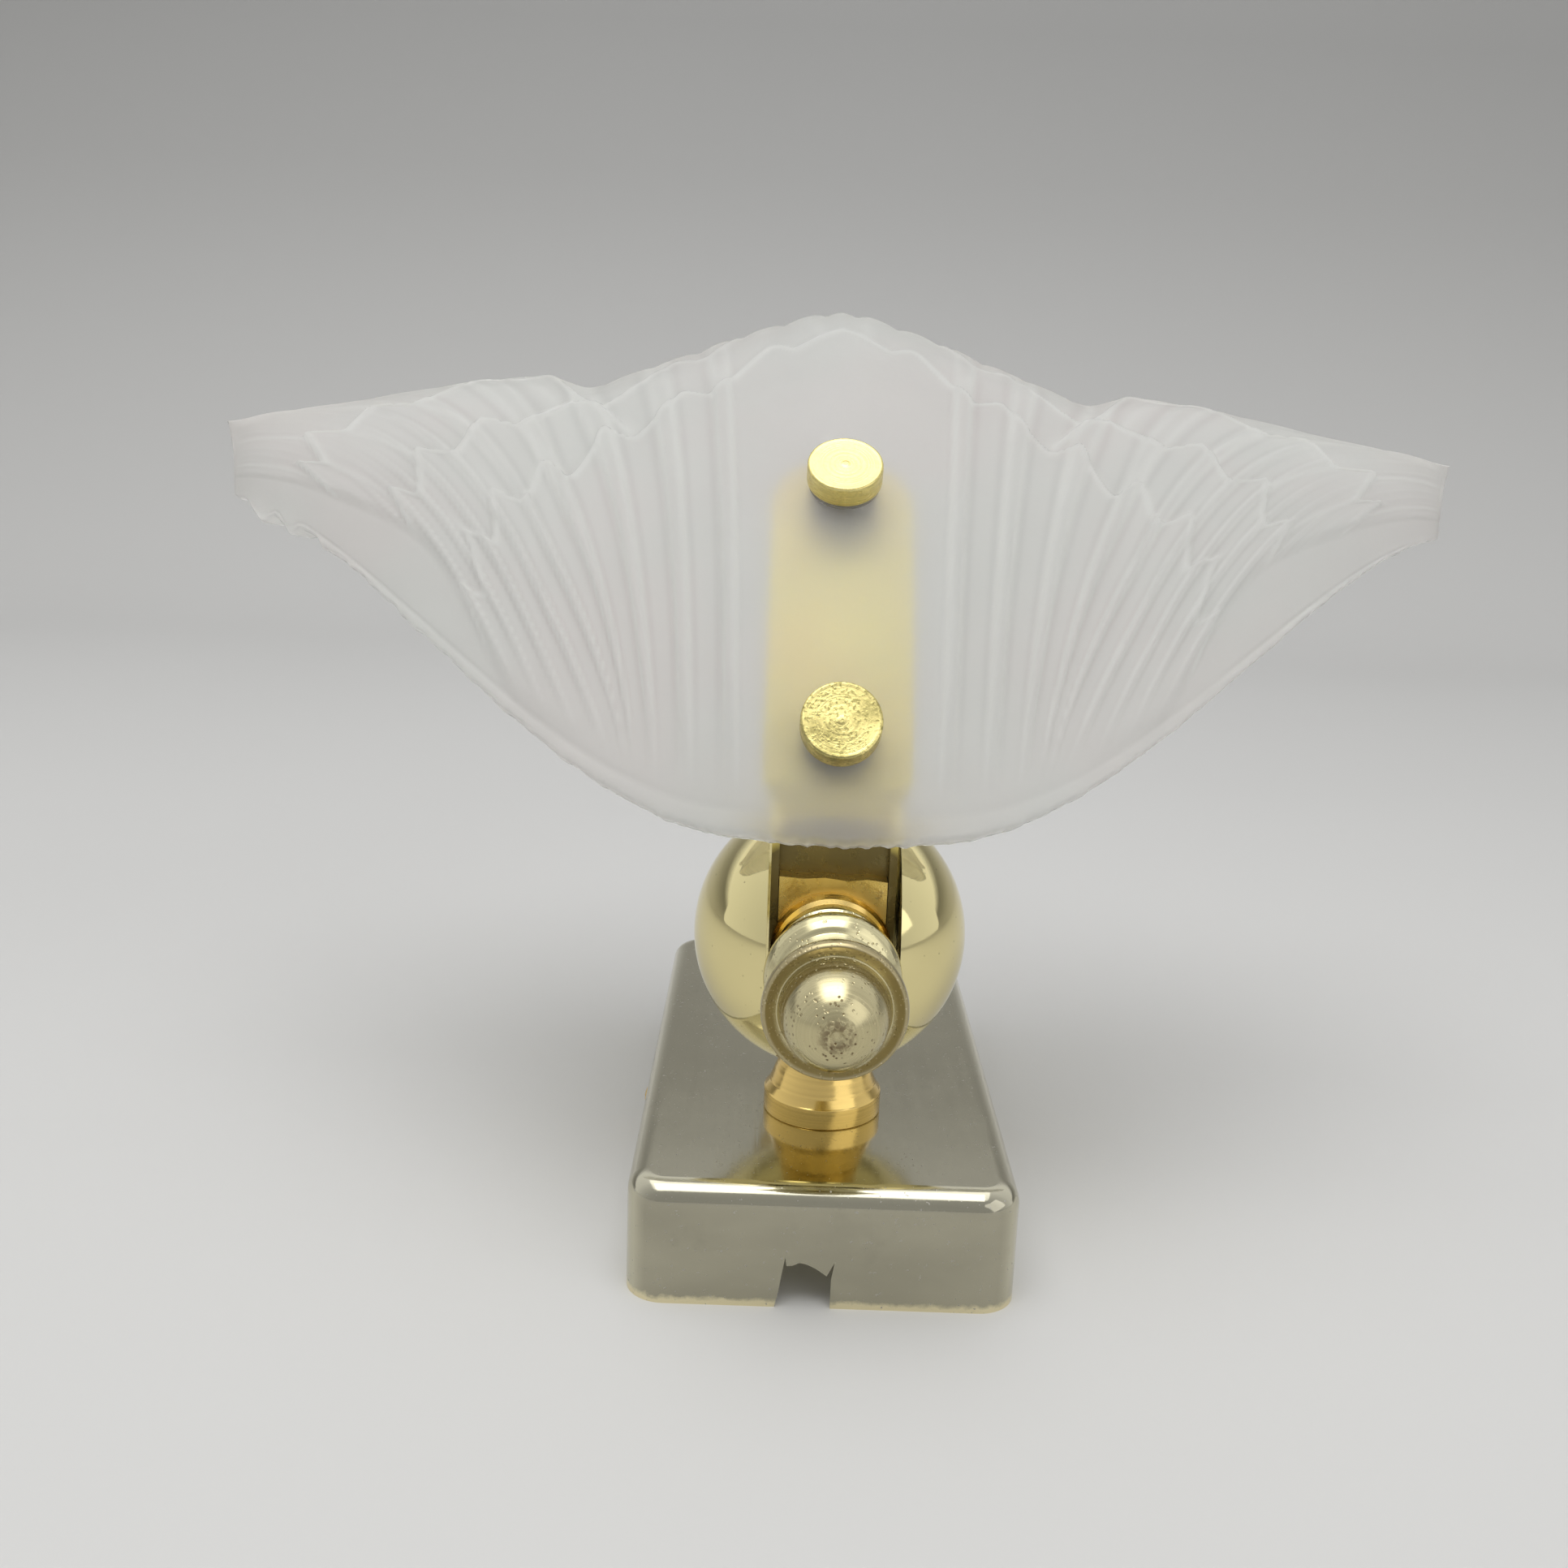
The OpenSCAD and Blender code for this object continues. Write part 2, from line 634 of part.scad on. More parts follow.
// Turned finial: neck, bead, waist, dished flange and a dome with a small dimple
module finial() {
    bead_t = 4.6;
    back = wall_s - washer_t;
    tip = bead_s - finial_l;
    bead_r = bead_d / 2;
    flange_r = flange_d / 2;
    dome_r = dome_d / 2;
    flange_s = tip + dome_r + 1.4;
    neck_r = tube_r + 3.6;
    ring_r = neck_r + 1.1;
    stem_r = neck_r + 0.4;
    waist_r = neck_r - 0.6;
    dimple_r = 2.2;
    color("darkkhaki") on_axis() difference() {
        union() {
            rotate_extrude() polygon([[0, back], [neck_r, back], [neck_r, back - 1.6], [ring_r, back - 2.2],
                [ring_r, back - 4.2], [stem_r, back - 4.8], [stem_r, bead_s], [bead_r - 1.6, bead_s],
                [bead_r - 0.5, bead_s - 0.7], [bead_r, bead_s - bead_t * 0.42],
                [bead_r - 0.4, bead_s - bead_t * 0.75], [bead_r - 1.5, bead_s - bead_t],
                [neck_r + 0.2, bead_s - bead_t - 0.5], [waist_r, bead_s - bead_t - 2],
                [waist_r + 0.2, flange_s + 5.4], [waist_r + 1.2, flange_s + 3.6],
                [flange_r - 0.7, flange_s + 2.6], [flange_r, flange_s + 1.6],
                [flange_r - 0.2, flange_s + 0.5], [flange_r - 0.8, flange_s],
                [dome_r + 0.6, flange_s + 1], [dome_r + 0.3, flange_s + 0.3],
                [dome_r + 0.3, flange_s - 0.7], [dome_r - 0.4, flange_s - 1.2], [0, flange_s - 1.2]]);
            translate([0, 0, tip + dome_r]) sphere(r = dome_r);
        }
        translate([0, 0, tube_low - part_gap]) cylinder(h = 4 * ball_r, r = tube_r + run_gap);
        translate([0, 0, tip - dimple_r * 0.72]) sphere(r = dimple_r);
    }
}

// Hex nut that clamps the tube on top of the ball
module seat_nut() {
    color("goldenrod") on_axis() difference() {
        translate([0, 0, holder_s - seat_h - seat_nut_h]) {
            cylinder(h = seat_h, r = seat_r);
            translate([0, 0, seat_h]) cylinder(h = seat_nut_h, r = nut_af / sqrt(3), $fn = 6);
        }
        cylinder(h = 3 * ball_r, r = tube_r + run_gap);
        sphere(r = ball_r + seat_gap);
    }
}

// Spun cup that carries the lampholder on the tube
module holder_cup() {
    r = holder_d / 2 + 1;
    color("goldenrod") on_axis() translate([0, 0, holder_s]) rotate_extrude()
        polygon([[tube_r + run_gap, 0], [r - 2, 0], [r - 0.6, 0.6], [r, 2], [r, cup_h], [r - cup_t, cup_h],
            [r - cup_t, 2.2], [r - 2, cup_floor], [tube_r + run_gap, cup_floor]]);
}

// Insulating body with the socket cavity
module holder_body() {
    r = holder_d / 2;
    inside = socket_d / 2 + shell_t + run_gap;
    top = shell_s + socket_l - holder_s - cup_floor;
    color("white") on_axis() difference() {
        translate([0, 0, holder_s + cup_floor + seat_gap]) rotate_extrude()
            polygon([[0, 0], [r - 2.2, 0], [r - 0.2, 1.4], [r - 0.2, cup_h], [r, cup_h], [r, top - 1.2],
                [r - 0.8, top], [0, top]]);
        translate([0, 0, contact_s]) cylinder(h = 2 * socket_l, r = inside);
        cylinder(h = shell_s, r = tube_r + run_gap);
    }
}

module screw_shell() {
    color("khaki") on_axis() translate([0, 0, shell_s])
        ring(socket_d / 2 + shell_t, socket_d / 2, socket_l);
}

// Sprung tongue at the bottom of the socket
module centre_contact() {
    r = socket_d / 2 - part_gap;
    w = tube_bore / 2;
    color("khaki") on_axis() translate([0, 0, contact_s]) {
        ring(r, tube_bore / 2, shell_t);
        translate([-w / 2, -r * 0.7, shell_t / 2]) rotate([10, 0, 0]) cube([w, 2 * w, shell_t]);
    }
}

// Corners of the glass: an outer grid with the relief and a plain, coarser inner grid
function outer_point(i, j) =
    let (u = 2 * i / shade_nu - 1, v = j / shade_nv)
    shade_face(u, v) + shade_normal(u, v) * shade_relief(u, v);

function inner_point(i, j) =
    let (u = 2 * i / inner_nu - 1, v = j / inner_nv)
    shade_face(u, v) - shade_normal(u, v) * shade_t;

function outer_at(i, j) = i * (shade_nv + 1) + j;
function inner_at(i, j) = (shade_nu + 1) * (shade_nv + 1) + i * (inner_nv + 1) + j;

// One grid square as two triangles
function square_faces(a, b, c, d) = [[a, b, c], [a, c, d]];

// Edge strip from a run of outer corners to two inner ones
function strip_faces(run, a, b) =
    let (steps = len(run) - 1, middle = ceil(steps / 2))
    concat([for (m = [0 : steps - 1]) [run[m], run[m + 1], m < middle ? a : b]], [[run[middle], b, a]]);

module shade_blank() {
    outer_points = [for (i = [0 : shade_nu], j = [0 : shade_nv]) outer_point(i, j)];
    inner_points = [for (i = [0 : inner_nu], j = [0 : inner_nv]) inner_point(i, j)];
    outer = [for (i = [0 : shade_nu - 1], j = [0 : shade_nv - 1])
        each square_faces(outer_at(i, j), outer_at(i, j + 1), outer_at(i + 1, j + 1), outer_at(i + 1, j))];
    inner = [for (i = [0 : inner_nu - 1], j = [0 : inner_nv - 1])
        each square_faces(inner_at(i, j), inner_at(i + 1, j), inner_at(i + 1, j + 1), inner_at(i, j + 1))];
    lip = [for (i = [0 : inner_nu - 1])
        each strip_faces([for (m = [0 : step_u]) outer_at(i * step_u + m, 0)],
            inner_at(i, 0), inner_at(i + 1, 0))];
    rim = [for (i = [0 : inner_nu - 1])
        each strip_faces([for (m = [step_u : -1 : 0]) outer_at(i * step_u + m, shade_nv)],
            inner_at(i + 1, inner_nv), inner_at(i, inner_nv))];
    left = [for (j = [0 : inner_nv - 1])
        each strip_faces([for (m = [step_v : -1 : 0]) outer_at(0, j * step_v + m)],
            inner_at(0, j + 1), inner_at(0, j))];
    right = [for (j = [0 : inner_nv - 1])
        each strip_faces([for (m = [0 : step_v]) outer_at(shade_nu, j * step_v + m)],
            inner_at(inner_nu, j), inner_at(inner_nu, j + 1))];
    polyhedron(concat(outer_points, inner_points), concat(outer, inner, lip, rim, left, right),
        convexity = 10);
}

module glass_shade() {
    color("lavenderblush", 0.7) difference() {
        on_plate() shade_blank();
        for (v = [lower_v, upper_v])
            on_screw(v) cylinder(h = 6 * shade_t, d = hole_d, center = true);
    }
}

// Soft pads between strap and glass
module shade_pads() {
    color("dimgray") for (v = [lower_v, upper_v])
        on_screw(v) translate([0, 0, -shade_t - pad_t + seat_gap])
            ring(pad_d / 2, screw_d / 2 + 2 * run_gap, pad_t - pad_relief);
}

// Clear washers under the thumbscrew heads
module shade_washers() {
    color("whitesmoke") for (v = [lower_v, upper_v])
        on_screw(v) translate([0, 0, run_gap])
            ring(front_washer_d / 2, screw_d / 2 + 2 * run_gap, front_washer_t);
}

// Thumbscrew with a turned disc head
module thumbscrew(v) {
    under = run_gap + front_washer_t + seat_gap;
    reach = shade_t + pad_t + strap_t + screw_d * 0.7;
    r = head_d / 2;
    color("goldenrod") on_screw(v) rotate_extrude()
        polygon([[0, -reach], [screw_d / 2 - 0.6, -reach], [screw_d / 2, -reach + 0.6],
            [screw_d / 2, under], [r - 0.3, under], [r, under + 0.3], [r, under + head_t - 0.5],
            [r - 0.2, under + head_t - 0.15], [r - 0.6, under + head_t], [0, under + head_t]]);
}

module thumbscrew_lower() { thumbscrew(lower_v); }
module thumbscrew_upper() { thumbscrew(upper_v); }

back_plate();
mounting_bar();
side_screws();
terminal_block();
terminal_screws();
block_screw();
earth_screw();
stop_stud();
collar();
ball_nipple();
spring_washer();
stop_washer();
lock_nuts();
ball();
centre_tube();
shade_bracket();
clamp_plate();
finial_washer();
seat_nut();
holder_cup();
holder_body();
screw_shell();
centre_contact();
glass_shade();
shade_pads();
shade_washers();
finial();
thumbscrew_lower();
thumbscrew_upper();
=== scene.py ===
import json
import math

import bmesh
import bpy
import numpy as np
from mathutils import Matrix, Vector


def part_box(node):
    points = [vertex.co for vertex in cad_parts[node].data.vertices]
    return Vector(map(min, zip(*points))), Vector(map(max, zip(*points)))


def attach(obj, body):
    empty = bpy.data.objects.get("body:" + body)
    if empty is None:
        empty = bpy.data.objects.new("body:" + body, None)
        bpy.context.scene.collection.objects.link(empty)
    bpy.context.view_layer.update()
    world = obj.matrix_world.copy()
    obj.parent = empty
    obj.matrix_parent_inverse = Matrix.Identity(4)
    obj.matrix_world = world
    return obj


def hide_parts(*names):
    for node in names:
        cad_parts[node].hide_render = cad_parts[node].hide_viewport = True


bl_info = {
    "name": "Wall light looks",
    "version": (1, 0, 0),
    "blender": (4, 5, 0),
    "location": "3D View > Sidebar > Wall light",
    "description": "Dresses the wall light: pressed glass shade, turned brass and studio stage",
    "category": "Object",
}

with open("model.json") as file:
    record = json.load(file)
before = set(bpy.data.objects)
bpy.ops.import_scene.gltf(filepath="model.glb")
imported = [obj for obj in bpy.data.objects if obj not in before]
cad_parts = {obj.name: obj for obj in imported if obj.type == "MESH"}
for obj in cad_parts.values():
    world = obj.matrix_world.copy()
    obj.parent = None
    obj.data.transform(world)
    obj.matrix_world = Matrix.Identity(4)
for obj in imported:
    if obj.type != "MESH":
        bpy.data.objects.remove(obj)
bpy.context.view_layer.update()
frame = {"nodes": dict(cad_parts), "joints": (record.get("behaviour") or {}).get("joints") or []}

# Places in the frame, in metres: the pan's front, and the upright axis through the ball
PAN_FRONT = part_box("back_plate")[0].y
AXIS_Y = (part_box("centre_tube")[0].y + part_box("centre_tube")[1].y) / 2
AXIS_Z = (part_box("collar")[0].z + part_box("collar")[1].z) / 2
BALL_R = (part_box("ball")[1].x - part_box("ball")[0].x) / 2
MM = 0.001
# Thread pitch of the hollow tubes
TUBE_PITCH = 1.0 * MM

# Local frames: z runs along each turned piece's axis
ON_COLLAR = Matrix.Translation((0, PAN_FRONT, AXIS_Z)) @ Matrix.Rotation(math.pi / 2, 4, "X")
ON_BALL = Matrix.Translation((0, AXIS_Y, AXIS_Z))


def screw_frame(joint_name):
    """Frame of a shade screw: its joint's place, with z out of the glass."""
    joint = next(j for j in frame["joints"] if j["name"] == joint_name)
    turn = Vector(joint["axis"]).to_track_quat("Z", "X").to_matrix().to_4x4()
    return Matrix.Translation(joint["pos_m"]) @ turn


class ShadeSettings(bpy.types.PropertyGroup):
    """Sizes and finish of the pressed glass shade."""

    width: bpy.props.FloatProperty(
        name="Width", description="Width over the two tips", default=0.243, unit="LENGTH")
    chord: bpy.props.FloatProperty(
        name="Chord", description="Straight height from lower lip to centre peak",
        default=0.133, unit="LENGTH")
    lean: bpy.props.FloatProperty(
        name="Lean", description="Lean of that line from upright",
        default=math.radians(49.4), subtype="ANGLE")
    bow: bpy.props.FloatProperty(
        name="Bow", description="Bow of the centre line in front of the chord",
        default=0.014, unit="LENGTH")
    thickness: bpy.props.FloatProperty(
        name="Thickness", description="Glass thickness", default=0.0054, unit="LENGTH")
    lip_gap: bpy.props.FloatProperty(
        name="Lip gap", description="Gap between the lower lip and the ball",
        default=0.0041, unit="LENGTH")
    tip_rise: bpy.props.FloatProperty(
        name="Tip rise", description="Height of the tips above the lip",
        default=0.074, unit="LENGTH")
    tip_out: bpy.props.FloatProperty(
        name="Tip reach", description="How far the tips stand out beyond the lip",
        default=0.0465, unit="LENGTH")
    tip_blunt: bpy.props.FloatProperty(
        name="Blunt tip", description="Height of the blunt end at each tip",
        default=0.013, unit="LENGTH")
    wing_out: bpy.props.FloatProperty(
        name="Wing reach", description="How far a wing's rim stands out beyond its tip",
        default=0.0122, unit="LENGTH")
    fold_depth: bpy.props.FloatProperty(
        name="Fold depth", description="Depth of the fold between lobe and wing",
        default=0.0022, unit="LENGTH")
    flutes: bpy.props.IntProperty(
        name="Flutes", description="Flutes on each side of the centre", default=10, min=4, max=16)
    flute_depth: bpy.props.FloatProperty(
        name="Flute depth", description="Depth of a flute",
        default=0.0012, unit="LENGTH", precision=5)
    feather_step: bpy.props.FloatProperty(
        name="Feather step", description="Step between feather rows",
        default=0.0011, unit="LENGTH", precision=5)
    feather_depth: bpy.props.FloatProperty(
        name="Feather crown", description="Crown of a feather",
        default=0.0007, unit="LENGTH", precision=5)
    hole: bpy.props.FloatProperty(
        name="Hole", description="Diameter of the two screw holes", default=0.007, unit="LENGTH")
    edge_round: bpy.props.FloatProperty(
        name="Edge rounding", description="Rounding along the glass edges",
        default=0.0012, unit="LENGTH")
    chips: bpy.props.FloatProperty(
        name="Mould flash", description="Height of the ragged flash on the lower edge",
        default=0.0011, unit="LENGTH")
    frost: bpy.props.FloatProperty(
        name="Frost", description="Roughness of the frosted faces",
        default=0.60, min=0, max=1, subtype="FACTOR")
    tint: bpy.props.FloatVectorProperty(
        name="Tint", description="Colour of the glass",
        default=(0.97, 0.975, 0.945), subtype="COLOR", min=0, max=1)


class MetalSettings(bpy.types.PropertyGroup):
    """Colours of the brass finishes."""

    pan: bpy.props.FloatVectorProperty(
        name="Pan", description="Rubbed plated brass of the pan", default=(0.57, 0.54, 0.415),
        subtype="COLOR", min=0, max=1)
    gold: bpy.props.FloatVectorProperty(
        name="Gold brass", description="Bright turned brass", default=(0.87, 0.62, 0.21),
        subtype="COLOR", min=0, max=1)
    strap: bpy.props.FloatVectorProperty(
        name="Strap", description="Pale plating of the bracket", default=(1.0, 0.79, 0.23),
        subtype="COLOR", min=0, max=1)
    polished: bpy.props.FloatVectorProperty(
        name="Ball", description="Mirror brass of the ball", default=(0.80, 0.70, 0.36),
        subtype="COLOR", min=0, max=1)
    screw: bpy.props.FloatVectorProperty(
        name="Screws", description="Lemon brass of the thumbscrews", default=(0.87, 0.74, 0.30),
        subtype="COLOR", min=0, max=1)
    aged: bpy.props.FloatVectorProperty(
        name="Finial", description="Pitted brass of the finial", default=(0.71, 0.64, 0.38),
        subtype="COLOR", min=0, max=1)
    raw: bpy.props.FloatVectorProperty(
        name="Raw brass", description="Machined brass of hidden fittings",
        default=(0.72, 0.57, 0.28),
        subtype="COLOR", min=0, max=1)
    ring_scale: bpy.props.FloatProperty(
        name="Turning lines", description="Turning lines to a metre",
        default=2600, min=200, max=8000)


class StageSettings(bpy.types.PropertyGroup):
    """Floor, light and background."""

    floor: bpy.props.FloatVectorProperty(
        name="Floor", description="Colour of floor and backdrop", default=(0.67, 0.67, 0.66),
        subtype="COLOR", min=0, max=1)
    sky: bpy.props.FloatVectorProperty(
        name="Surroundings", description="Colour of the surroundings", default=(0.86, 0.87, 0.88),
        subtype="COLOR", min=0, max=1)
    fill: bpy.props.FloatProperty(
        name="Fill", description="Strength of the all-round light", default=0.50, min=0, max=2)
    key: bpy.props.FloatProperty(
        name="Key", description="Power of the large soft light", default=6.8, unit="POWER")


# Node helpers

def start_material(name):
    """New node material with its tree, its shader and the object coordinates."""
    material = bpy.data.materials.new(name)
    material.use_nodes = True
    tree = material.node_tree
    coords = tree.nodes.new("ShaderNodeTexCoord").outputs["Object"]
    return material, tree, tree.nodes["Principled BSDF"], coords


def plug(tree, source, socket):
    """Links an output to an input, or sets a plain value on it."""
    if isinstance(source, bpy.types.NodeSocket):
        tree.links.new(source, socket)
    else:
        socket.default_value = source


def stretch(tree, coords, scale):
    """Coordinates scaled apart along x, y and z."""
    node = tree.nodes.new("ShaderNodeMapping")
    node.inputs["Scale"].default_value = scale
    tree.links.new(coords, node.inputs["Vector"])
    return node.outputs["Vector"]


def noise(tree, coords, scale, detail=3.0, rough=0.5):
    """Soft noise from 0 to 1."""
    node = tree.nodes.new("ShaderNodeTexNoise")
    node.inputs["Scale"].default_value = scale
    node.inputs["Detail"].default_value = detail
    node.inputs["Roughness"].default_value = rough
    tree.links.new(coords, node.inputs["Vector"])
    return node.outputs[0]


def cells(tree, coords, scale):
    """Distance to scattered points."""
    node = tree.nodes.new("ShaderNodeTexVoronoi")
    node.inputs["Scale"].default_value = scale
    tree.links.new(coords, node.inputs["Vector"])
    return node.outputs["Distance"]


def remap(tree, value, low, high, to_low, to_high):
    """Value moved from one range to another, held at its ends."""
    node = tree.nodes.new("ShaderNodeMapRange")
    tree.links.new(value, node.inputs["Value"])
    for name, number in (("From Min", low), ("From Max", high), ("To Min", to_low), ("To Max", to_high)):
        node.inputs[name].default_value = number
    return node.outputs["Result"]


def combine(tree, operation, a, b):
    """Arithmetic on two values."""
    node = tree.nodes.new("ShaderNodeMath")
    node.operation = operation
    plug(tree, a, node.inputs[0])
    plug(tree, b, node.inputs[1])
    return node.outputs[0]


def axes(tree, coords):
    """The x, y and z of coordinates, as three outputs by name."""
    node = tree.nodes.new("ShaderNodeSeparateXYZ")
    tree.links.new(coords, node.inputs["Vector"])
    return node.outputs


def tint(tree, value, first, second):
    """Colour between two colours, or colour outputs."""
    node = tree.nodes.new("ShaderNodeMix")
    node.data_type = "RGBA"
    tree.links.new(value, node.inputs[0])
    for colour, socket in ((first, node.inputs[6]), (second, node.inputs[7])):
        plug(tree, colour if isinstance(colour, bpy.types.NodeSocket) else (*colour, 1.0), socket)
    return node.outputs[2]


def bump(tree, shader, height, strength, distance):
    """Bump on a shader, on top of any bump that it has."""
    node = tree.nodes.new("ShaderNodeBump")
    node.inputs["Strength"].default_value = strength
    node.inputs["Distance"].default_value = distance
    tree.links.new(height, node.inputs["Height"])
    socket = shader.inputs["Normal"]
    if socket.is_linked:
        tree.links.new(socket.links[0].from_socket, node.inputs["Normal"])
    tree.links.new(node.outputs["Normal"], socket)


def shade_of(colour, factor):
    """Colour made darker or paler."""
    return tuple(min(1.0, c * factor) for c in colour)


def turning_lines(tree, coords, place, scale):
    """Fine rings round a piece's axis, from its own frame."""
    node = tree.nodes.new("ShaderNodeMapping")
    node.vector_type = "TEXTURE"
    node.inputs["Location"].default_value = place.to_translation()
    node.inputs["Rotation"].default_value = place.to_euler("XYZ")
    tree.links.new(coords, node.inputs["Vector"])
    parts = axes(tree, node.outputs["Vector"])
    flat = tree.nodes.new("ShaderNodeCombineXYZ")
    tree.links.new(parts["X"], flat.inputs["X"])
    tree.links.new(parts["Y"], flat.inputs["Y"])
    radius = tree.nodes.new("ShaderNodeVectorMath")
    radius.operation = "LENGTH"
    tree.links.new(flat.outputs["Vector"], radius.inputs[0])
    along = combine(tree, "MULTIPLY_ADD", parts["Z"], 0.83)
    tree.links.new(radius.outputs["Value"], along.node.inputs[2])
    rings = tree.nodes.new("ShaderNodeTexNoise")
    rings.noise_dimensions = "1D"
    rings.inputs["Scale"].default_value = scale
    rings.inputs["Detail"].default_value = 2.0
    tree.links.new(along, rings.inputs["W"])
    return rings.outputs[0], radius.outputs["Value"], parts["Z"]


def metal(name, colour, smooth, rough, grain=26.0, contrast=0.12):
    """Metal with cloudy colour, smudges and fine grain. Returns its parts for further nodes."""
    material, tree, shader, coords = start_material(name)
    cloud = noise(tree, coords, grain, 4.0, 0.6)
    colours = tint(tree, cloud, shade_of(colour, 1 - contrast), shade_of(colour, 1 + contrast))
    smudge = noise(tree, coords, grain * 3, 5.0, 0.65)
    dull = remap(tree, smudge, 0.35, 0.7, smooth, rough)
    shader.inputs["Metallic"].default_value = 1.0
    tree.links.new(colours, shader.inputs["Base Color"])
    tree.links.new(dull, shader.inputs["Roughness"])
    return material, tree, shader, coords, colours, dull


def turned_metal(name, colour, place, scale, smooth=0.10, rough=0.24, depth=0.00003):
    """Lathe-turned metal with rings round its axis."""
    material, tree, shader, coords, colours, dull = metal(name, colour, smooth, rough, 60.0)
    rings, radius, along = turning_lines(tree, coords, place, scale)
    streaks = remap(tree, rings, 0.3, 0.7, 0.0, 1.0)
    tree.links.new(tint(tree, streaks, shade_of(colour, 0.86), colours), shader.inputs["Base Color"])
    scored = combine(tree, "ADD", dull, remap(tree, rings, 0.4, 0.75, 0.0, 0.10))
    tree.links.new(scored, shader.inputs["Roughness"])
    bump(tree, shader, rings, 0.35, depth)
    return material, tree, shader, coords, rings, radius, along


def pan_finish(colour):
    """Plated brass rubbed along its length, with dull patches, specks of dust and painted shade on its
    lower end face.
    """
    material, tree, shader, coords, colours, dull = metal(
        "satin_brass", colour, 0.07, 0.15, 22.0, 0.10)
    lines = noise(tree, stretch(tree, coords, (1500.0, 1500.0, 26.0)), 1.0, 2.0)
    specks = remap(tree, noise(tree, coords, 1500.0, 1.0), 0.70, 0.76, 0.0, 1.0)
    patches = remap(tree, noise(tree, coords, 70.0, 5.0, 0.7), 0.58, 0.72, 0.0, 1.0)
    wear_and_shade = tint(tree, patches, colours, shade_of(colour, 0.84))
    parts = axes(tree, coords)
    clouds = noise(tree, stretch(tree, coords, (30.0, 90.0, 30.0)), 1.0, 3.0)
    cloudy = remap(tree, clouds, 0.3, 0.65, 0.6, 1.0)
    ragged = combine(tree, "MULTIPLY", noise(tree, coords, 420.0, 4.0, 0.7), 0.0022)
    rim = remap(tree, combine(tree, "ADD", parts["Y"], ragged), -0.0004, 0.0004, 0.0, 1.0)
    # Painted shade: the lower end face is darkened in cloudy patches.
    end = remap(tree, parts["Z"], -0.0586, -0.0602, 0.0, 0.75)
    wear_and_shade = tint(tree, combine(tree, "MULTIPLY", end, cloudy), wear_and_shade, shade_of(colour, 0.55))
    wear_and_shade = tint(tree, rim, wear_and_shade, (0.82, 0.74, 0.50))
    tree.links.new(tint(tree, specks, wear_and_shade, (0.46, 0.44, 0.38)), shader.inputs["Base Color"])
    rough = combine(tree, "ADD", dull, remap(tree, lines, 0.3, 0.7, 0.0, 0.05))
    rough = combine(tree, "ADD", rough, combine(tree, "MULTIPLY", patches, 0.08))
    rough = combine(tree, "ADD", rough, combine(tree, "MULTIPLY", specks, 0.3))
    tree.links.new(rough, shader.inputs["Roughness"])
    bump(tree, shader, lines, 0.10, 0.00004)
    bump(tree, shader, noise(tree, coords, 45.0, 2.0), 0.12, 0.0004)
    return material


def ball_finish(colour):
    """Mirror brass with faint smudges, a few pin pricks and fine scratches."""
    material, tree, shader, coords, colours, _ = metal("polished_brass", colour, 0.04, 0.10, 34.0, 0.07)
    pricks = remap(tree, cells(tree, coords, 420.0), 0.05, 0.09, 1.0, 0.0)
    tree.links.new(tint(tree, pricks, colours, shade_of(colour, 0.62)), shader.inputs["Base Color"])
    scratches = noise(tree, stretch(tree, coords, (300.0, 2200.0, 300.0)), 1.0, 2.0)
    bump(tree, shader, scratches, 0.05, 0.00003)
    return material


def plated_finish(name, colour):
    """Bright plating over rough sheet brass, with bare patches and grit."""
    material, tree, shader, coords, colours, _ = metal(name, colour, 0.20, 0.42, 90.0, 0.12)
    grit = noise(tree, coords, 1900.0, 3.0)
    bare = remap(tree, noise(tree, coords, 240.0, 4.0, 0.7), 0.62, 0.70, 0.0, 1.0)
    tree.links.new(tint(tree, bare, colours, (0.55, 0.40, 0.16)), shader.inputs["Base Color"])
    bump(tree, shader, grit, 0.18, 0.00012)
    return material


def bracket_finish(colour):
    """Plating of the bracket, with painted shade where the channel lies in the ball's slot."""
    material = plated_finish("bracket_brass", colour)
    tree = material.node_tree
    shader = tree.nodes["Principled BSDF"]
    away = tree.nodes.new("ShaderNodeVectorMath")
    away.operation = "DISTANCE"
    away.inputs[1].default_value = ON_BALL.to_translation()
    tree.links.new(tree.nodes["Texture Coordinate"].outputs["Object"], away.inputs[0])
    # Painted shade: the strap is darkened inside the ball's radius, where it lies in the slot.
    inner = remap(tree, away.outputs["Value"], BALL_R - 0.0020, BALL_R - 0.0002, 1.0, 0.0)
    plating = shader.inputs["Base Color"].links[0].from_socket
    tree.links.new(tint(tree, inner, plating, (0.20, 0.16, 0.07)), shader.inputs["Base Color"])
    return material


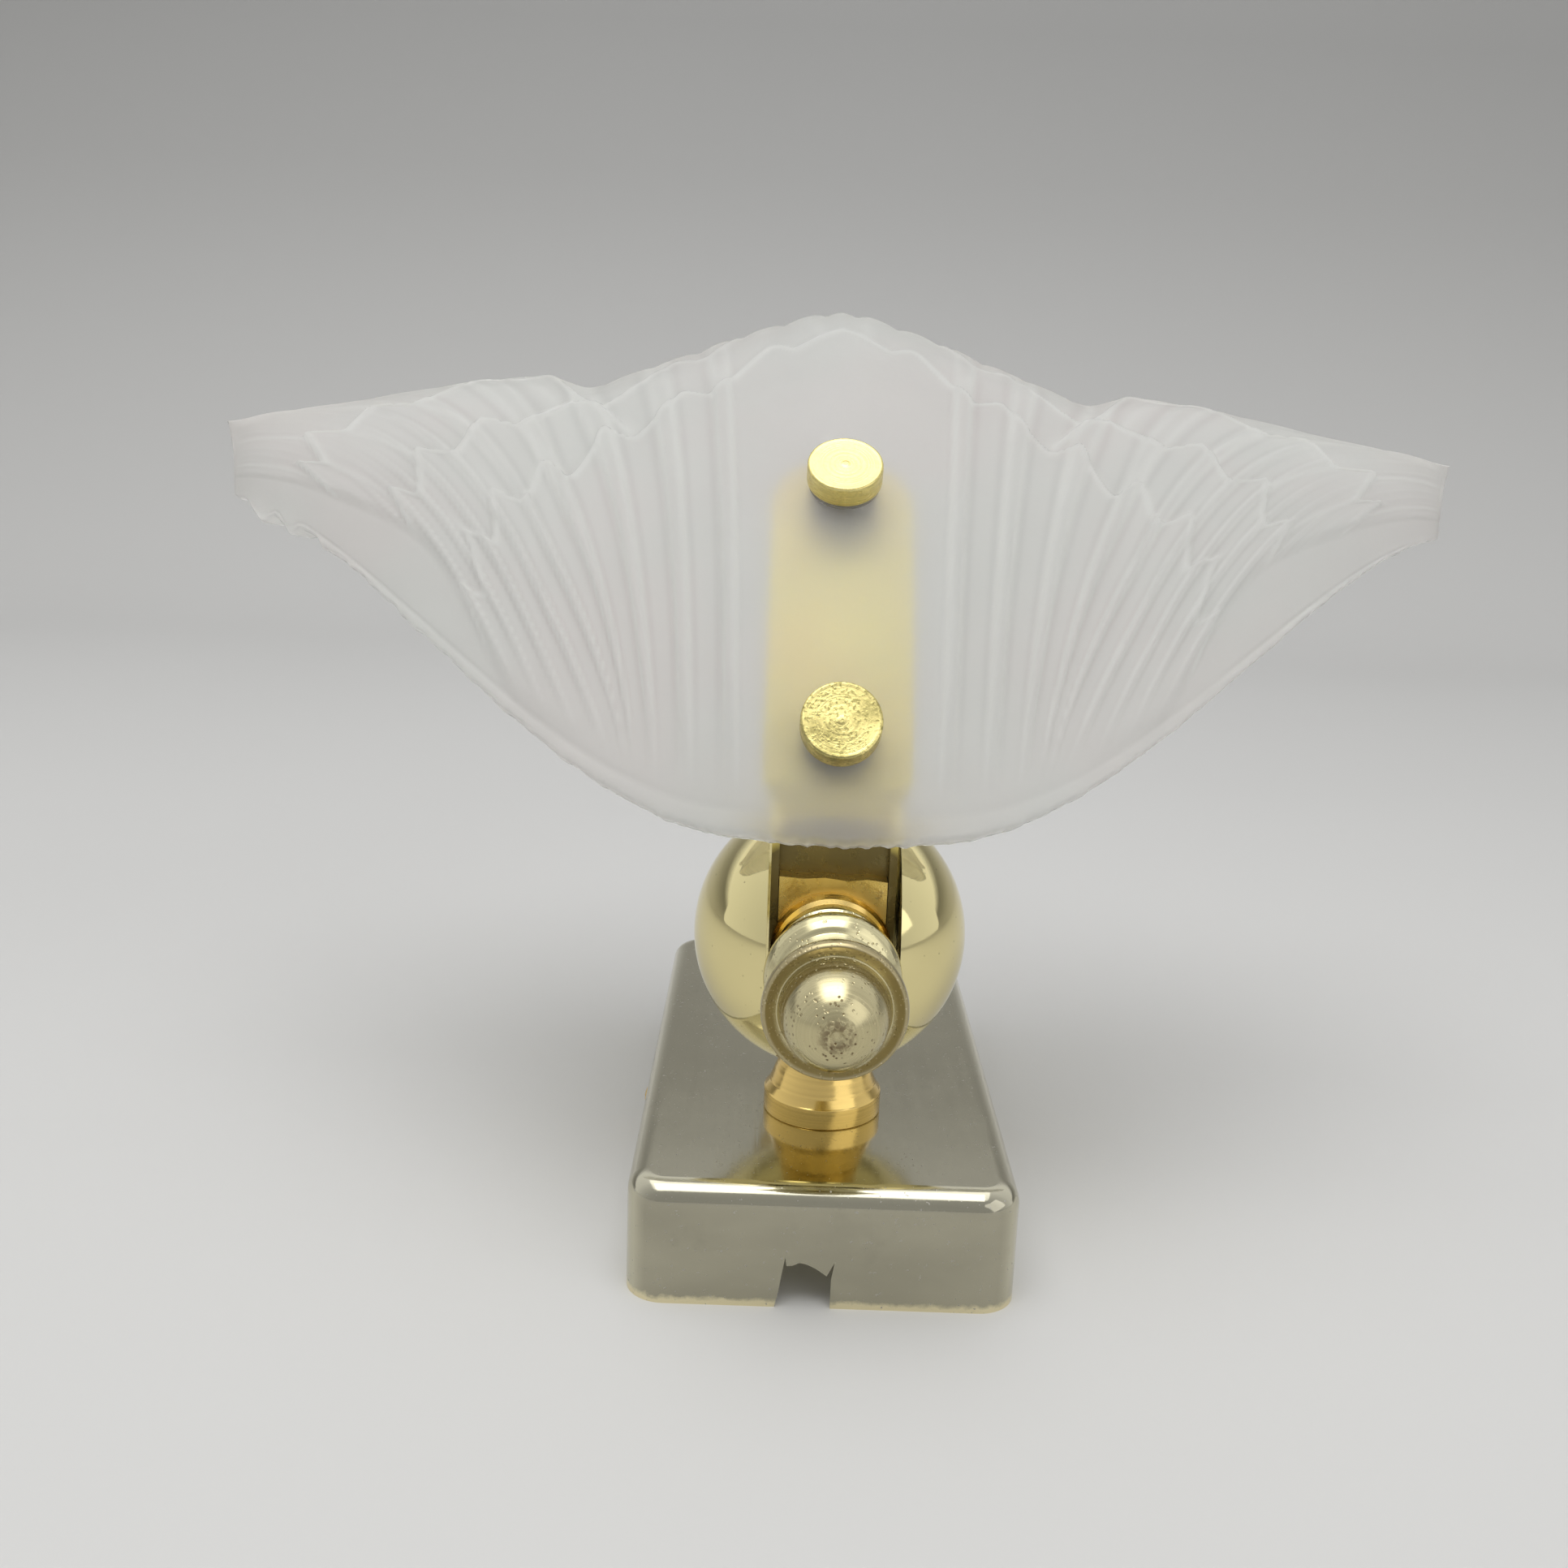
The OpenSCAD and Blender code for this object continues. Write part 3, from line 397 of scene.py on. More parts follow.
def aged_finish(colour, place, scale):
    """Polished brass gone pitted and brown in places, with painted shade over the dome and in the hollow
    of the flange.
    """
    material, tree, shader, coords, _, radius, along = turned_metal(
        "aged_brass", colour, place, scale * 0.7, 0.09, 0.22, 0.000012)
    colours = shader.inputs["Base Color"].links[0].from_socket
    dull = shader.inputs["Roughness"].links[0].from_socket
    pits = remap(tree, cells(tree, coords, 1250.0), 0.16, 0.30, 1.0, 0.0)
    end = remap(tree, along, -0.0474, -0.0430, 1.0, 0.35)
    spread_out = remap(tree, noise(tree, coords, 260.0, 3.0), 0.44, 0.56, 0.0, 1.0)
    where = combine(tree, "MULTIPLY", end, spread_out)
    pits = combine(tree, "MULTIPLY", pits, where)
    brown = remap(tree, noise(tree, coords, 170.0, 5.0, 0.7), 0.58, 0.80, 0.0, 0.55)
    # Painted shade: the hollow of the flange is darkened, and pale specks are kept to it.
    shaded_dish = combine(
        tree, "MULTIPLY", remap(tree, radius, 0.0085, 0.0095, 0.0, 0.75),
        remap(tree, along, -0.0375, -0.0365, 1.0, 0.0))
    brown = combine(tree, "MAXIMUM", brown, shaded_dish)
    # Painted shade: the dome and the flange's hollow are darkened a little more.
    brown = combine(tree, "MAXIMUM", brown, remap(tree, along, -0.0380, -0.0365, 0.3, 0.0))
    tip = remap(tree, along, -0.0479, -0.0472, 1.0, 0.0)
    crumbs = remap(tree, noise(tree, coords, 1300.0, 4.0), 0.42, 0.55, 0.2, 1.0)
    rough_tip = combine(tree, "MULTIPLY", tip, crumbs)
    stained_and_shaded = tint(tree, brown, colours, (0.36, 0.29, 0.155))
    specks = remap(tree, cells(tree, coords, 1500.0), 0.14, 0.24, 1.0, 0.0)
    specks = combine(tree, "MULTIPLY", specks, shaded_dish)
    stained_and_shaded = tint(tree, specks, stained_and_shaded, (0.74, 0.67, 0.45))
    stained_and_shaded = tint(tree, pits, stained_and_shaded, (0.20, 0.14, 0.07))
    tree.links.new(tint(tree, rough_tip, stained_and_shaded, (0.16, 0.11, 0.06)), shader.inputs["Base Color"])
    stains_and_shade = combine(tree, "MAXIMUM", pits, brown)
    wear_and_shade = combine(tree, "ADD", dull, combine(tree, "MULTIPLY", stains_and_shade, 0.22))
    wear_and_shade = combine(tree, "ADD", wear_and_shade, combine(tree, "MULTIPLY", rough_tip, 0.3))
    tree.links.new(wear_and_shade, shader.inputs["Roughness"])
    hollows = combine(tree, "MAXIMUM", pits, rough_tip)
    bump(tree, shader, combine(tree, "SUBTRACT", 1.0, hollows), 0.7, 0.00022)
    return material


def screw_finish(name, colour, place, scale, tarnish):
    """Turned screw head with rings and a dark bloom of tarnish."""
    material, tree, shader, coords, *_ = turned_metal(name, colour, place, scale, 0.18, 0.36, 0.00006)
    colours = shader.inputs["Base Color"].links[0].from_socket
    bloom = remap(tree, noise(tree, coords, 190.0, 5.0, 0.7), 0.42, 0.66, 0.0, tarnish)
    grit = remap(tree, noise(tree, coords, 1700.0, 3.0), 0.48, 0.66, 0.0, tarnish)
    dark = combine(tree, "MAXIMUM", bloom, grit)
    tree.links.new(tint(tree, dark, colours, (0.24, 0.21, 0.07)), shader.inputs["Base Color"])
    bump(tree, shader, grit, 0.25, 0.00008)
    return material


def threaded_finish(name, colour, place, pitch):
    """Machined brass with a fine thread along its axis."""
    material, tree, shader, *_, along = turned_metal(name, colour, place, 900.0, 0.24, 0.42)
    wave = combine(tree, "SINE", combine(tree, "MULTIPLY", along, 2 * math.pi / pitch), 0.0)
    bump(tree, shader, wave, 0.9, pitch * 0.3)
    return material


def steel_finish():
    """Zinc-plated steel with a faint spangle."""
    material, tree, shader, coords, colours, _ = metal(
        "zinc_steel", (0.61, 0.625, 0.64), 0.26, 0.44, 70.0, 0.10)
    spangle = tree.nodes.new("ShaderNodeTexVoronoi")
    spangle.inputs["Scale"].default_value = 420.0
    tree.links.new(coords, spangle.inputs["Vector"])
    tones = tint(tree, spangle.outputs["Color"], colours, (0.70, 0.705, 0.68))
    tree.links.new(tones, shader.inputs["Base Color"])
    bump(tree, shader, noise(tree, coords, 1400.0, 2.0), 0.10, 0.0001)
    return material


def plastic_finish(name, colour, rough):
    """Moulded plastic with a cloudy tone and a fine skin."""
    material, tree, shader, coords = start_material(name)
    cloud = noise(tree, coords, 120.0, 4.0, 0.6)
    grime = remap(tree, noise(tree, coords, 60.0, 5.0, 0.7), 0.55, 0.75, 0.0, 0.35)
    tones = tint(tree, cloud, shade_of(colour, 0.94), shade_of(colour, 1.04))
    tree.links.new(tint(tree, grime, tones, shade_of(colour, 0.74)), shader.inputs["Base Color"])
    tree.links.new(remap(tree, cloud, 0.3, 0.7, rough - 0.06, rough + 0.08), shader.inputs["Roughness"])
    bump(tree, shader, noise(tree, coords, 2600.0, 2.0), 0.12, 0.00006)
    return material


def clear_finish():
    """Clear soft plastic of the washers under the screw heads."""
    material, tree, shader, coords = start_material("clear_plastic")
    cloud = noise(tree, coords, 500.0, 3.0)
    tones = tint(tree, cloud, (0.92, 0.90, 0.86), (0.98, 0.97, 0.94))
    tree.links.new(tones, shader.inputs["Base Color"])
    tree.links.new(remap(tree, cloud, 0.3, 0.7, 0.12, 0.26), shader.inputs["Roughness"])
    shader.inputs["Transmission Weight"].default_value = 0.85
    shader.inputs["IOR"].default_value = 1.3
    bump(tree, shader, cloud, 0.15, 0.0001)
    return material


def glass_finish(colour, frost):
    """Acid-frosted pressed glass: milky, with a sandy skin and slight ripples, painted highlights on the
    relief's ridges and painted pink shade in its hollows.
    """
    material, tree, shader, coords = start_material("frosted_glass")
    cloud = noise(tree, coords, 32.0, 4.0, 0.6)
    relief_shading = tree.nodes.new("ShaderNodeAttribute")
    relief_shading.attribute_name = "relief_shading"
    # Painted light and shade of the relief: hollows take a darker pinkish colour, ridges a paler one.
    pale = tint(tree, cloud, colour, shade_of(colour, 1.03))
    blush = remap(tree, noise(tree, coords, 26.0, 2.0), 0.42, 0.62, 0.0, 1.0)
    rosy = tuple(c * share for c, share in zip(colour, (0.765, 0.705, 0.715)))
    groove_shade = tint(tree, blush, shade_of(colour, 0.74), rosy)
    tones = tint(tree, relief_shading.outputs["Fac"], groove_shade, pale)
    tree.links.new(tones, shader.inputs["Base Color"])
    sand = noise(tree, coords, 2600.0, 2.0)
    tree.links.new(remap(tree, cloud, 0.3, 0.7, frost - 0.06, frost + 0.06), shader.inputs["Roughness"])
    shader.inputs["Transmission Weight"].default_value = 0.84
    shader.inputs["IOR"].default_value = 1.46
    bump(tree, shader, sand, 0.10, 0.00010)
    bump(tree, shader, noise(tree, coords, 130.0, 3.0), 0.16, 0.0006)
    return material


def floor_finish(colour):
    """Pale floor that darkens up the backdrop and fades out above it, seen through from behind."""
    material, tree, shader, coords = start_material("floor")
    cloud = noise(tree, coords, 5.0, 3.0)
    pale = tint(tree, cloud, shade_of(colour, 0.985), shade_of(colour, 1.015))
    out = axes(tree, coords)["Y"]
    risen = remap(tree, out, 0.0, -0.4, 0.0, 1.0)
    tree.links.new(tint(tree, risen, pale, shade_of(colour, 0.6)), shader.inputs["Base Color"])
    tree.links.new(remap(tree, cloud, 0.3, 0.7, 0.62, 0.70), shader.inputs["Roughness"])
    clear = tree.nodes.new("ShaderNodeBsdfTransparent")
    side = tree.nodes.new("ShaderNodeNewGeometry")
    mix = tree.nodes.new("ShaderNodeMixShader")
    fade = remap(tree, out, -0.46, -0.76, 0.0, 1.0)
    tree.links.new(combine(tree, "MAXIMUM", side.outputs["Backfacing"], fade), mix.inputs[0])
    tree.links.new(shader.outputs["BSDF"], mix.inputs[1])
    tree.links.new(clear.outputs["BSDF"], mix.inputs[2])
    tree.links.new(mix.outputs["Shader"], tree.nodes["Material Output"].inputs["Surface"])
    return material


# Mesh helpers

def dress(material, *names):
    """Gives CAD nodes a finish."""
    for name in names:
        frame["nodes"][name].data.materials.clear()
        frame["nodes"][name].data.materials.append(material)


def add_piece(name, form, material, body, nodes, smooth=True):
    """Object from a bmesh, riding on a body and standing for CAD nodes."""
    for face in form.faces:
        face.smooth = smooth
    mesh = bpy.data.meshes.new(name)
    form.to_mesh(mesh)
    form.free()
    mesh.materials.append(material)
    piece = bpy.data.objects.new(name, mesh)
    bpy.context.scene.collection.objects.link(piece)
    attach(piece, body)
    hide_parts(*nodes)
    return piece


def turned_form(profile, place, steps, corner):
    """Spins a profile of (radius, height) in millimetres about z and rounds its corners first."""
    form = bmesh.new()
    verts = [form.verts.new((r * MM, 0, h * MM)) for r, h in profile]
    for first, second in zip(verts, verts[1:]):
        form.edges.new((first, second))
    bmesh.ops.bevel(
        form, geom=verts[1:-1], affect="VERTICES", offset=corner * MM, segments=3, profile=0.5,
        material=-1, clamp_overlap=True)
    bmesh.ops.spin(
        form, geom=form.verts[:] + form.edges[:], cent=(0, 0, 0), axis=(0, 0, 1), angle=2 * math.pi,
        steps=steps, use_merge=True)
    bmesh.ops.remove_doubles(form, verts=form.verts[:], dist=0.002 * MM)
    bmesh.ops.recalc_face_normals(form, faces=form.faces[:])
    bmesh.ops.transform(form, matrix=place, verts=form.verts[:])
    return form


def arc(radius, centre, start, end, steps):
    """Profile points on an arc, angles in degrees from the axis."""
    angles = [math.radians(start + (end - start) * k / steps) for k in range(steps + 1)]
    return [(radius * math.sin(a), centre - radius * math.cos(a)) for a in angles]


# Form of the glass. u runs from tip to tip, v from lip to rim; points are (across, up, out)

LIP_ANGLE = math.radians(130.3)
WING_FOLD = 0.43
LOBE_ROUND = 0.06
# First rib, distance over all ribs, and the height at which they stand evenly
FIRST_RIB = 0.23
FAN_WIDTH = 1.05
RIB_LEVEL = 0.43
# Angle of the edge where a wing laps over the centre lobe
LAP_ANGLE = 27.8
SCALLOP = 0.065
# End of the flutes: place, scallop width in degrees and first scallop
FLUTE_END = (0.968, 9.0, LAP_ANGLE)
# Start, end, feather width in degrees and first feather of each row
FEATHER_ROWS = ((0.92, 1.12, 10.0, 27.2), (1.09, 1.31, 10.0, 31.0), (1.28, 1.62, 12.0, 30.0))
# Painted highlight line along a rib's edge, with a painted shade line at twice that distance, in shares
# of the rib's pitch
RIB_HIGHLIGHT = 0.13
# Step at the lap edge and depth of the groove along the lip
LAP_STEP = 0.8 * MM
LIP_GROOVE = 0.22 * MM
# Rim lobes: height at the centre, height on the wings and width in degrees
CENTRE_LOBE = 3.2 * MM
WING_LOBE = 0.9 * MM
LOBE_PITCH = 3.6
# Nick in the rim at the fold: place and depth
NICK = (0.437, 1.6 * MM)
# Drips under the left tip: place, length and width
DRIPS = ((-0.925, 3.4 * MM, 0.022), (-0.868, 2.6 * MM, 0.016))
# Lift of the upper corner of each tip
TIP_LIFT = 1.6 * MM


def ease(low, high, x):
    """Smooth step from 0 to 1."""
    t = np.clip((x - low) / (high - low), 0, 1)
    return t * t * (3 - 2 * t)


def crown(x):
    """Rounded crown over one repeat, with a groove at each end."""
    return 1 - np.abs(2 * (x - np.floor(x)) - 1) ** 2.2


def line(x, width):
    """Narrow rounded line about 0."""
    return np.exp(-(x / width) ** 2)


def lobe_fall(a):
    """Straight fall from the centre with a rounded top."""
    return np.hypot(a, LOBE_ROUND) - LOBE_ROUND


def shade_face(shade, u, v):
    """Plain outside face of the glass."""
    a = np.abs(u)
    reach = BALL_R + 0.0001 + shade.lip_gap
    lip_up = reach * math.cos(LIP_ANGLE)
    lip_out = PAN_FRONT - AXIS_Y + reach * math.sin(LIP_ANGLE)
    peak_up = lip_up + shade.chord * math.sin(shade.lean)
    peak_out = lip_out + shade.chord * math.cos(shade.lean)
    tip_up = lip_up + shade.tip_rise + MM
    tip_out = lip_out + shade.tip_out + shade.tip_blunt
    wing_out = tip_out + shade.wing_out
    lobe = peak_out - (peak_out - wing_out + shade.fold_depth) * lobe_fall(a) / lobe_fall(WING_FOLD)
    along = np.clip((a - WING_FOLD - 0.08) / (1 - WING_FOLD - 0.08), 0, 1)
    wing = wing_out - shade.wing_out * along ** 1.4
    rim_out = lobe + (wing - lobe) * ease(WING_FOLD - 0.02, WING_FOLD + 0.07, a)
    rim_up = peak_up - (peak_up - tip_up) * u * u
    low_up = lip_up + shade.tip_rise * a ** 1.6
    low_out = lip_out + shade.tip_out * ease(0.15, 1, a)
    bow = shade.bow * (1 - u * u) * 4 * v * (1 - v)
    up = low_up + (rim_up - low_up) * v - bow * math.cos(shade.lean)
    out = low_out + (rim_out - low_out) * v + bow * math.sin(shade.lean)
    return np.stack([shade.width / 2 * u, up, out], -1)


def shade_normal(shade, u, v):
    """Outward normal of the plain face."""
    d = 0.01
    across = shade_face(shade, u + d, v) - shade_face(shade, u - d, v)
    upward = shade_face(shade, u, v + d) - shade_face(shade, u, v - d)
    normal = np.cross(across, upward)
    return normal / np.linalg.norm(normal, axis=-1, keepdims=True)


def flute_place(a, v):
    """Place across the fan of flutes: inner ribs stand nearly upright and outer ones lean out."""
    level = a
    for _ in range(5):
        lean = 0.35 + 0.75 * (1 - ease(0.15, 0.5, level))
        level = a * np.hypot(RIB_LEVEL + 0.2, lean) / np.hypot(v + 0.2, lean)
    return level / math.hypot(RIB_LEVEL + 0.2, 0.35)


def scallop(angle, end, pitch, first):
    """Stepped line that ends a row of scallops, and the distance to each scallop's side."""
    turn = (angle - first) / pitch
    part = turn - np.floor(turn)
    rise = (1 - part) ** 1.5 * ease(0, 0.26, part) * 1.25 - 0.4
    return end + SCALLOP * rise, np.abs(turn - np.round(turn))


def shade_relief(shade, u, v):
    """Height of ribs and feather rows over the plain face, and the painted light and shade of each
    point.
    """
    a = np.abs(u)
    fan = np.hypot(a, 0.07) / np.hypot(v + 0.2, 0.35)
    t = v + 0.75 * fan
    angle = np.degrees(np.arctan2(a + 0.095, v + 0.12))
    flute = (flute_place(a, v) - FIRST_RIB) * shade.flutes / FAN_WIDTH
    off = np.abs(flute - np.round(flute))
    shown = ease(-0.3, -0.15, flute) * ease(0.03, 0.22, v) * (1 - 0.9 * ease(0.6, 0.8, a))
    off_centre = ease(0.1, 0.3, fan)
    ribs = shown * shade.flute_depth * (0.6 * (1 - ease(0.09, 0.19, off)) + 0.4 * (1 - 2 * off) ** 2)
    height = ribs + shade.feather_step * ease(0.55, 0.95, t) * off_centre
    height += shade.feather_step / 2 * ease(0.8, 0.9, v) * (1 - off_centre)
    # Painted highlight along each rib's edge and painted shade beside it.
    tone = 0.6 + shown * (0.5 * line(off - RIB_HIGHLIGHT, 0.05) - 0.3 * line(off - 2 * RIB_HIGHLIGHT, 0.07))
    lips = np.zeros_like(height)
    stop = scallop(angle, *FLUTE_END)[0]
    for row, (start, end, pitch, first) in enumerate(FEATHER_ROWS):
        row_stop, side = scallop(angle, end, pitch, first)
        x = np.clip((t - start) / (row_stop - start), 0, 1)
        ridge = line(side, 0.07) * (1 - 0.6 * x)
        vane = 2 * side * (1 - side) + 0.5 * ridge
        tile = shade.feather_step * x + shade.feather_depth * vane + 0.45 * ribs
        if row == len(FEATHER_ROWS) - 1:
            tile = 0.6 * tile
        over = ease(stop - 0.003, stop + 0.011, t)
        height = height + (tile - height) * over
        # Painted light on the feather rows: highlights on ridges and rib edges, paler towards each row's
        # end.
        barb_shading = 0.3 * shown * (line(off - RIB_HIGHLIGHT, 0.06) - line(off - 0.27, 0.07))
        tone = tone + (0.45 + 0.3 * ridge + 0.2 * x + barb_shading - tone) * over
        lips += line(t - stop + 0.003, 0.008)
        stop = row_stop
    past = ease(0.94, 1.0, t)
    beyond = angle - LAP_ANGLE
    height += LAP_STEP * past * ease(-0.5, 0.1, beyond) * (1 - ease(0, 10, beyond))
    lips += past * line(beyond - 0.2, 0.4)
    lips = np.minimum(lips, 1)
    height += 0.55 * shade.feather_depth * lips
    plain = 0.02 + 0.2 * ease(0.45, 0.65, a)
    shown = ease(plain, plain + 0.05, v) * (1 - ease(0.95, 0.995, a)) * (1 - 0.7 * ease(0.86, 1.0, v))
    groove = line(v - 0.03, 0.008) * (1 - ease(0.85, 0.95, a))
    # Painted highlights along the lips and the lap edge.
    tone = 0.6 + (tone + 0.7 * lips - 0.6) * np.minimum(1, 2 * shown)
    return height * shown - LIP_GROOVE * groove, np.clip(tone, 0, 1.3)


def edge_wave(u, seed):
    """Uneven wave from about -1 to 1 along an edge."""
    return sum(np.sin(u * f + seed * f * 0.37) for f in (23.0, 41.0, 67.0, 113.0)) / 2.4


def glass_points(shade, u, v, inside):
    """Finished glass points on the outer or the inner face, in the frame."""
    face = shade_face(shade, u, v)
    normal = shade_normal(shade, u, v)
    upward = shade_face(shade, u, v + 0.01) - shade_face(shade, u, v - 0.01)
    upward /= np.linalg.norm(upward, axis=-1, keepdims=True)
    a = np.abs(u)
    height = shade.chord * (1 - 0.75 * a * a)
    to_edge = np.minimum(np.minimum(v * height, (1 - v) * height), (1 - a) * shade.width / 2)
    inset = np.clip(shade.edge_round - to_edge, 0, shade.edge_round)
    rounding = shade.edge_round - np.sqrt(shade.edge_round ** 2 - inset ** 2)
    if inside:
        depth = -shade.thickness + rounding
    else:
        depth = shade_relief(shade, u, v)[0] - rounding
    flash = np.clip(edge_wave(u * 1.9, 1.3) - 0.28, 0, 1) - 0.25 * edge_wave(u * 3.1, 4.1)
    where = 0.3 + 0.6 * ease(0.3, 0.7, -u) + 0.5 * line(u - 0.02, 0.06)
    flash *= shade.chips * where * (1 - ease(0.0, 0.035, v))
    angle = np.degrees(np.arctan2(a + 0.095, v + 0.12))
    lobes = CENTRE_LOBE + (WING_LOBE - CENTRE_LOBE) * ease(0.4, 0.5, a)
    lobes *= crown((angle - LAP_ANGLE) / LOBE_PITCH) * ease(0.93, 1.0, v)
    lobes *= 1 - ease(0.9, 0.98, a)
    nick, nick_depth = NICK
    lobes -= nick_depth * line(a - nick, 0.02) * ease(0.8, 1.0, v)
    drips = sum(length * line(u - place, width) for place, length, width in DRIPS)
    drips *= 1 - ease(0.0, 0.2, v)
    point = face + normal * depth[:, None] + upward * (lobes - flash - drips)[:, None]
    point[:, 2] += TIP_LIFT * ease(0.8, 1.0, a) * v
    return np.stack([point[:, 0], PAN_FRONT - point[:, 2], AXIS_Z + point[:, 1]], -1)


# Columns and rows of the outer and the inner grid
GRIDS = ((400, 150), (200, 75))


def spread(g, k):
    """Grid coordinate with its lines drawn together near both ends."""
    return np.sin(g * math.pi / 2 * k) / math.sin(math.pi / 2 * k)


def fanned(g, v):
    """Grid columns drawn together at the lip, so that they follow the ribs."""
    waist = np.hypot(v + 0.2, 0.6) / math.hypot(1.2, 0.6)
    return waist * g + (1 - waist) * g ** 5


def glass_form(shade, screws):
    """Outer and inner grids joined along their edges and round the two screw holes."""
    form = bmesh.new()
    relief_shading = form.verts.layers.float.new("relief_shading")
    for inside, (columns, rows) in enumerate(GRIDS):
        made = bmesh.ops.create_grid(form, x_segments=columns, y_segments=rows, size=1)["verts"]
        flat = np.array([v.co[:2] for v in made])
        v = (spread(flat[:, 1], 0.75) + 1) / 2
        u = fanned(spread(flat[:, 0], 0.6), v)
        # Painted light and shade of the relief on the outer face; the inner face stays even.
        tones = np.full(len(made), 0.6) if inside else shade_relief(shade, u, v)[1]
        for vert, point, tone in zip(made, glass_points(shade, u, v, inside), tones):
            vert.co = point
            vert[relief_shading] = tone
        if not inside:
            outer = len(form.faces)
    form.faces.ensure_lookup_table()
    bmesh.ops.reverse_faces(form, faces=form.faces[outer:])
    doomed = []
    for place in screws:
        away = place.inverted()
        for face in form.faces:
            centre = away @ face.calc_center_median()
            if math.hypot(centre.x, centre.y) < shade.hole / 2:
                doomed.append(face)
    rings = {v for f in doomed for v in f.verts}
    bmesh.ops.delete(form, geom=doomed, context="FACES")
    for vert in (v for v in rings if v.is_valid):
        place = min(screws, key=lambda p: (vert.co - p.translation).length)
        local = place.inverted() @ vert.co
        stretch_to = shade.hole / 2 / math.hypot(local.x, local.y)
        vert.co = place @ Vector((local.x * stretch_to, local.y * stretch_to, local.z))
    edges = [e for e in form.edges if e.is_boundary]
    holes = [
        [e for e in edges if (e.verts[0].co - p.translation).length < 2 * shade.hole] for p in screws]
    border = [e for e in edges if not any(e in hole for hole in holes)]
    for loops in (border, *holes):
        bmesh.ops.bridge_loops(form, edges=loops)
    bmesh.ops.recalc_face_normals(form, faces=form.faces[:])
    return form


class WALLLIGHT_OT_dress_metal(bpy.types.Operator):
    """Finishes for the pan, the ball, the bracket and the other brass and steel nodes"""

    bl_idname = "walllight.dress_metal"
    bl_label = "Dress the metalwork"

    def execute(self, context):
        metals = context.scene.light_metal
        dress(pan_finish(metals.pan), "back_plate", "stop_stud")
        dress(ball_finish(metals.polished), "ball")
        dress(bracket_finish(metals.strap), "shade_bracket")
        # The clamp plate's gold is 12 % paler than the turned brass: painted light against the shade it
        # sits in.
        dress(plated_finish("clamp_gold", shade_of(metals.gold, 1.12)), "clamp_plate")
        washer = turned_metal("washer_brass", metals.gold, ON_BALL, metals.ring_scale, 0.16, 0.32)[0]
        dress(washer, "finial_washer")
        dress(plated_finish("screw_gold", metals.gold), "side_screws", "earth_screw")
        dress(threaded_finish("threaded_brass", metals.raw, ON_BALL, TUBE_PITCH), "centre_tube")
        dress(threaded_finish("threaded_nipple", metals.raw, ON_COLLAR, TUBE_PITCH), "ball_nipple")
        machined = turned_metal("machined_brass", metals.raw, ON_BALL, metals.ring_scale, 0.22, 0.40)[0]
        dress(machined, "seat_nut", "holder_cup", "centre_contact", "lock_nuts")
        steel = steel_finish()
        dress(steel, "mounting_bar", "terminal_screws", "block_screw", "spring_washer", "stop_washer")
        return {"FINISHED"}


class WALLLIGHT_OT_dress_fittings(bpy.types.Operator):
    """Finishes for the plastic, rubber and clear fittings"""

    bl_idname = "walllight.dress_fittings"
    bl_label = "Dress the fittings"

    def execute(self, context):
        dress(plastic_finish("terminal_plastic", (0.83, 0.81, 0.74), 0.42), "terminal_block")
        dress(plastic_finish("holder_white", (0.86, 0.85, 0.81), 0.38), "holder_body")
        dress(plastic_finish("pad_rubber", (0.11, 0.105, 0.10), 0.62), "shade_pads")
        dress(clear_finish(), "shade_washers")
        return {"FINISHED"}


class WALLLIGHT_OT_make_glass(bpy.types.Operator):
    """Pressed glass shade with flutes, feather rows, ragged lower edge and two holes"""

    bl_idname = "walllight.make_glass"
    bl_label = "Make the glass shade"

    def execute(self, context):
        shade = context.scene.light_shade
        screws = [screw_frame("lower_thumbscrew_turn"), screw_frame("upper_thumbscrew_turn")]
        form = glass_form(shade, screws)
        if any(e.is_boundary for e in form.edges):
            raise RuntimeError("the glass has an open edge")
        material = glass_finish(shade.tint, shade.frost)
        add_piece("pressed_glass", form, material, "head", ["glass_shade"])
        return {"FINISHED"}


class WALLLIGHT_OT_make_finial(bpy.types.Operator):
    """Turned finial with bead, waist, dished flange and dimpled dome"""

    bl_idname = "walllight.make_finial"
    bl_label = "Make the finial"

    def execute(self, context):
        metals = context.scene.light_metal
        low = (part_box("finial")[0].z - AXIS_Z) / MM
        top = (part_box("finial")[1].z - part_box("finial")[0].z) / MM
        profile = [(0, 0.62), (0.8, 0.52), (1.4, 0.13)]
        profile += arc(8.3, 8.3, 12, 88, 14)
        profile += [
            (8.45, 8.6), (8.6, 9.1), (8.6, 10.2), (8.95, 10.7), (9.7, 10.45), (10.5, 9.85),
            (10.9, 9.65), (11.3, 10.1), (11.5, 10.9), (11.4, 11.7), (10.8, 12.3), (9.3, 13.1),
            (8.5, 14.2), (8.1, 15.8), (8.0, 18.2), (8.2, 20.2), (8.8, 21.5), (9.7, 21.9),
            (10.6, 22.7), (11.15, 23.7), (11.3, 24.6), (11.1, 25.5), (10.5, 26.2), (9.7, 26.55),
            (9.0, 26.6), (9.0, 30.7), (9.7, 31.2), (9.7, 33.3), (8.6, 33.9), (8.6, top),
            (5.05, top), (5.05, 20.3), (0, 20.3)]
        place = ON_BALL @ Matrix.Translation((0, 0, low * MM))
        form = turned_form(profile, place, 112, 0.16)
        material = aged_finish(metals.aged, ON_BALL, metals.ring_scale)
        add_piece("turned_finial", form, material, "finial", ["finial"])
        return {"FINISHED"}


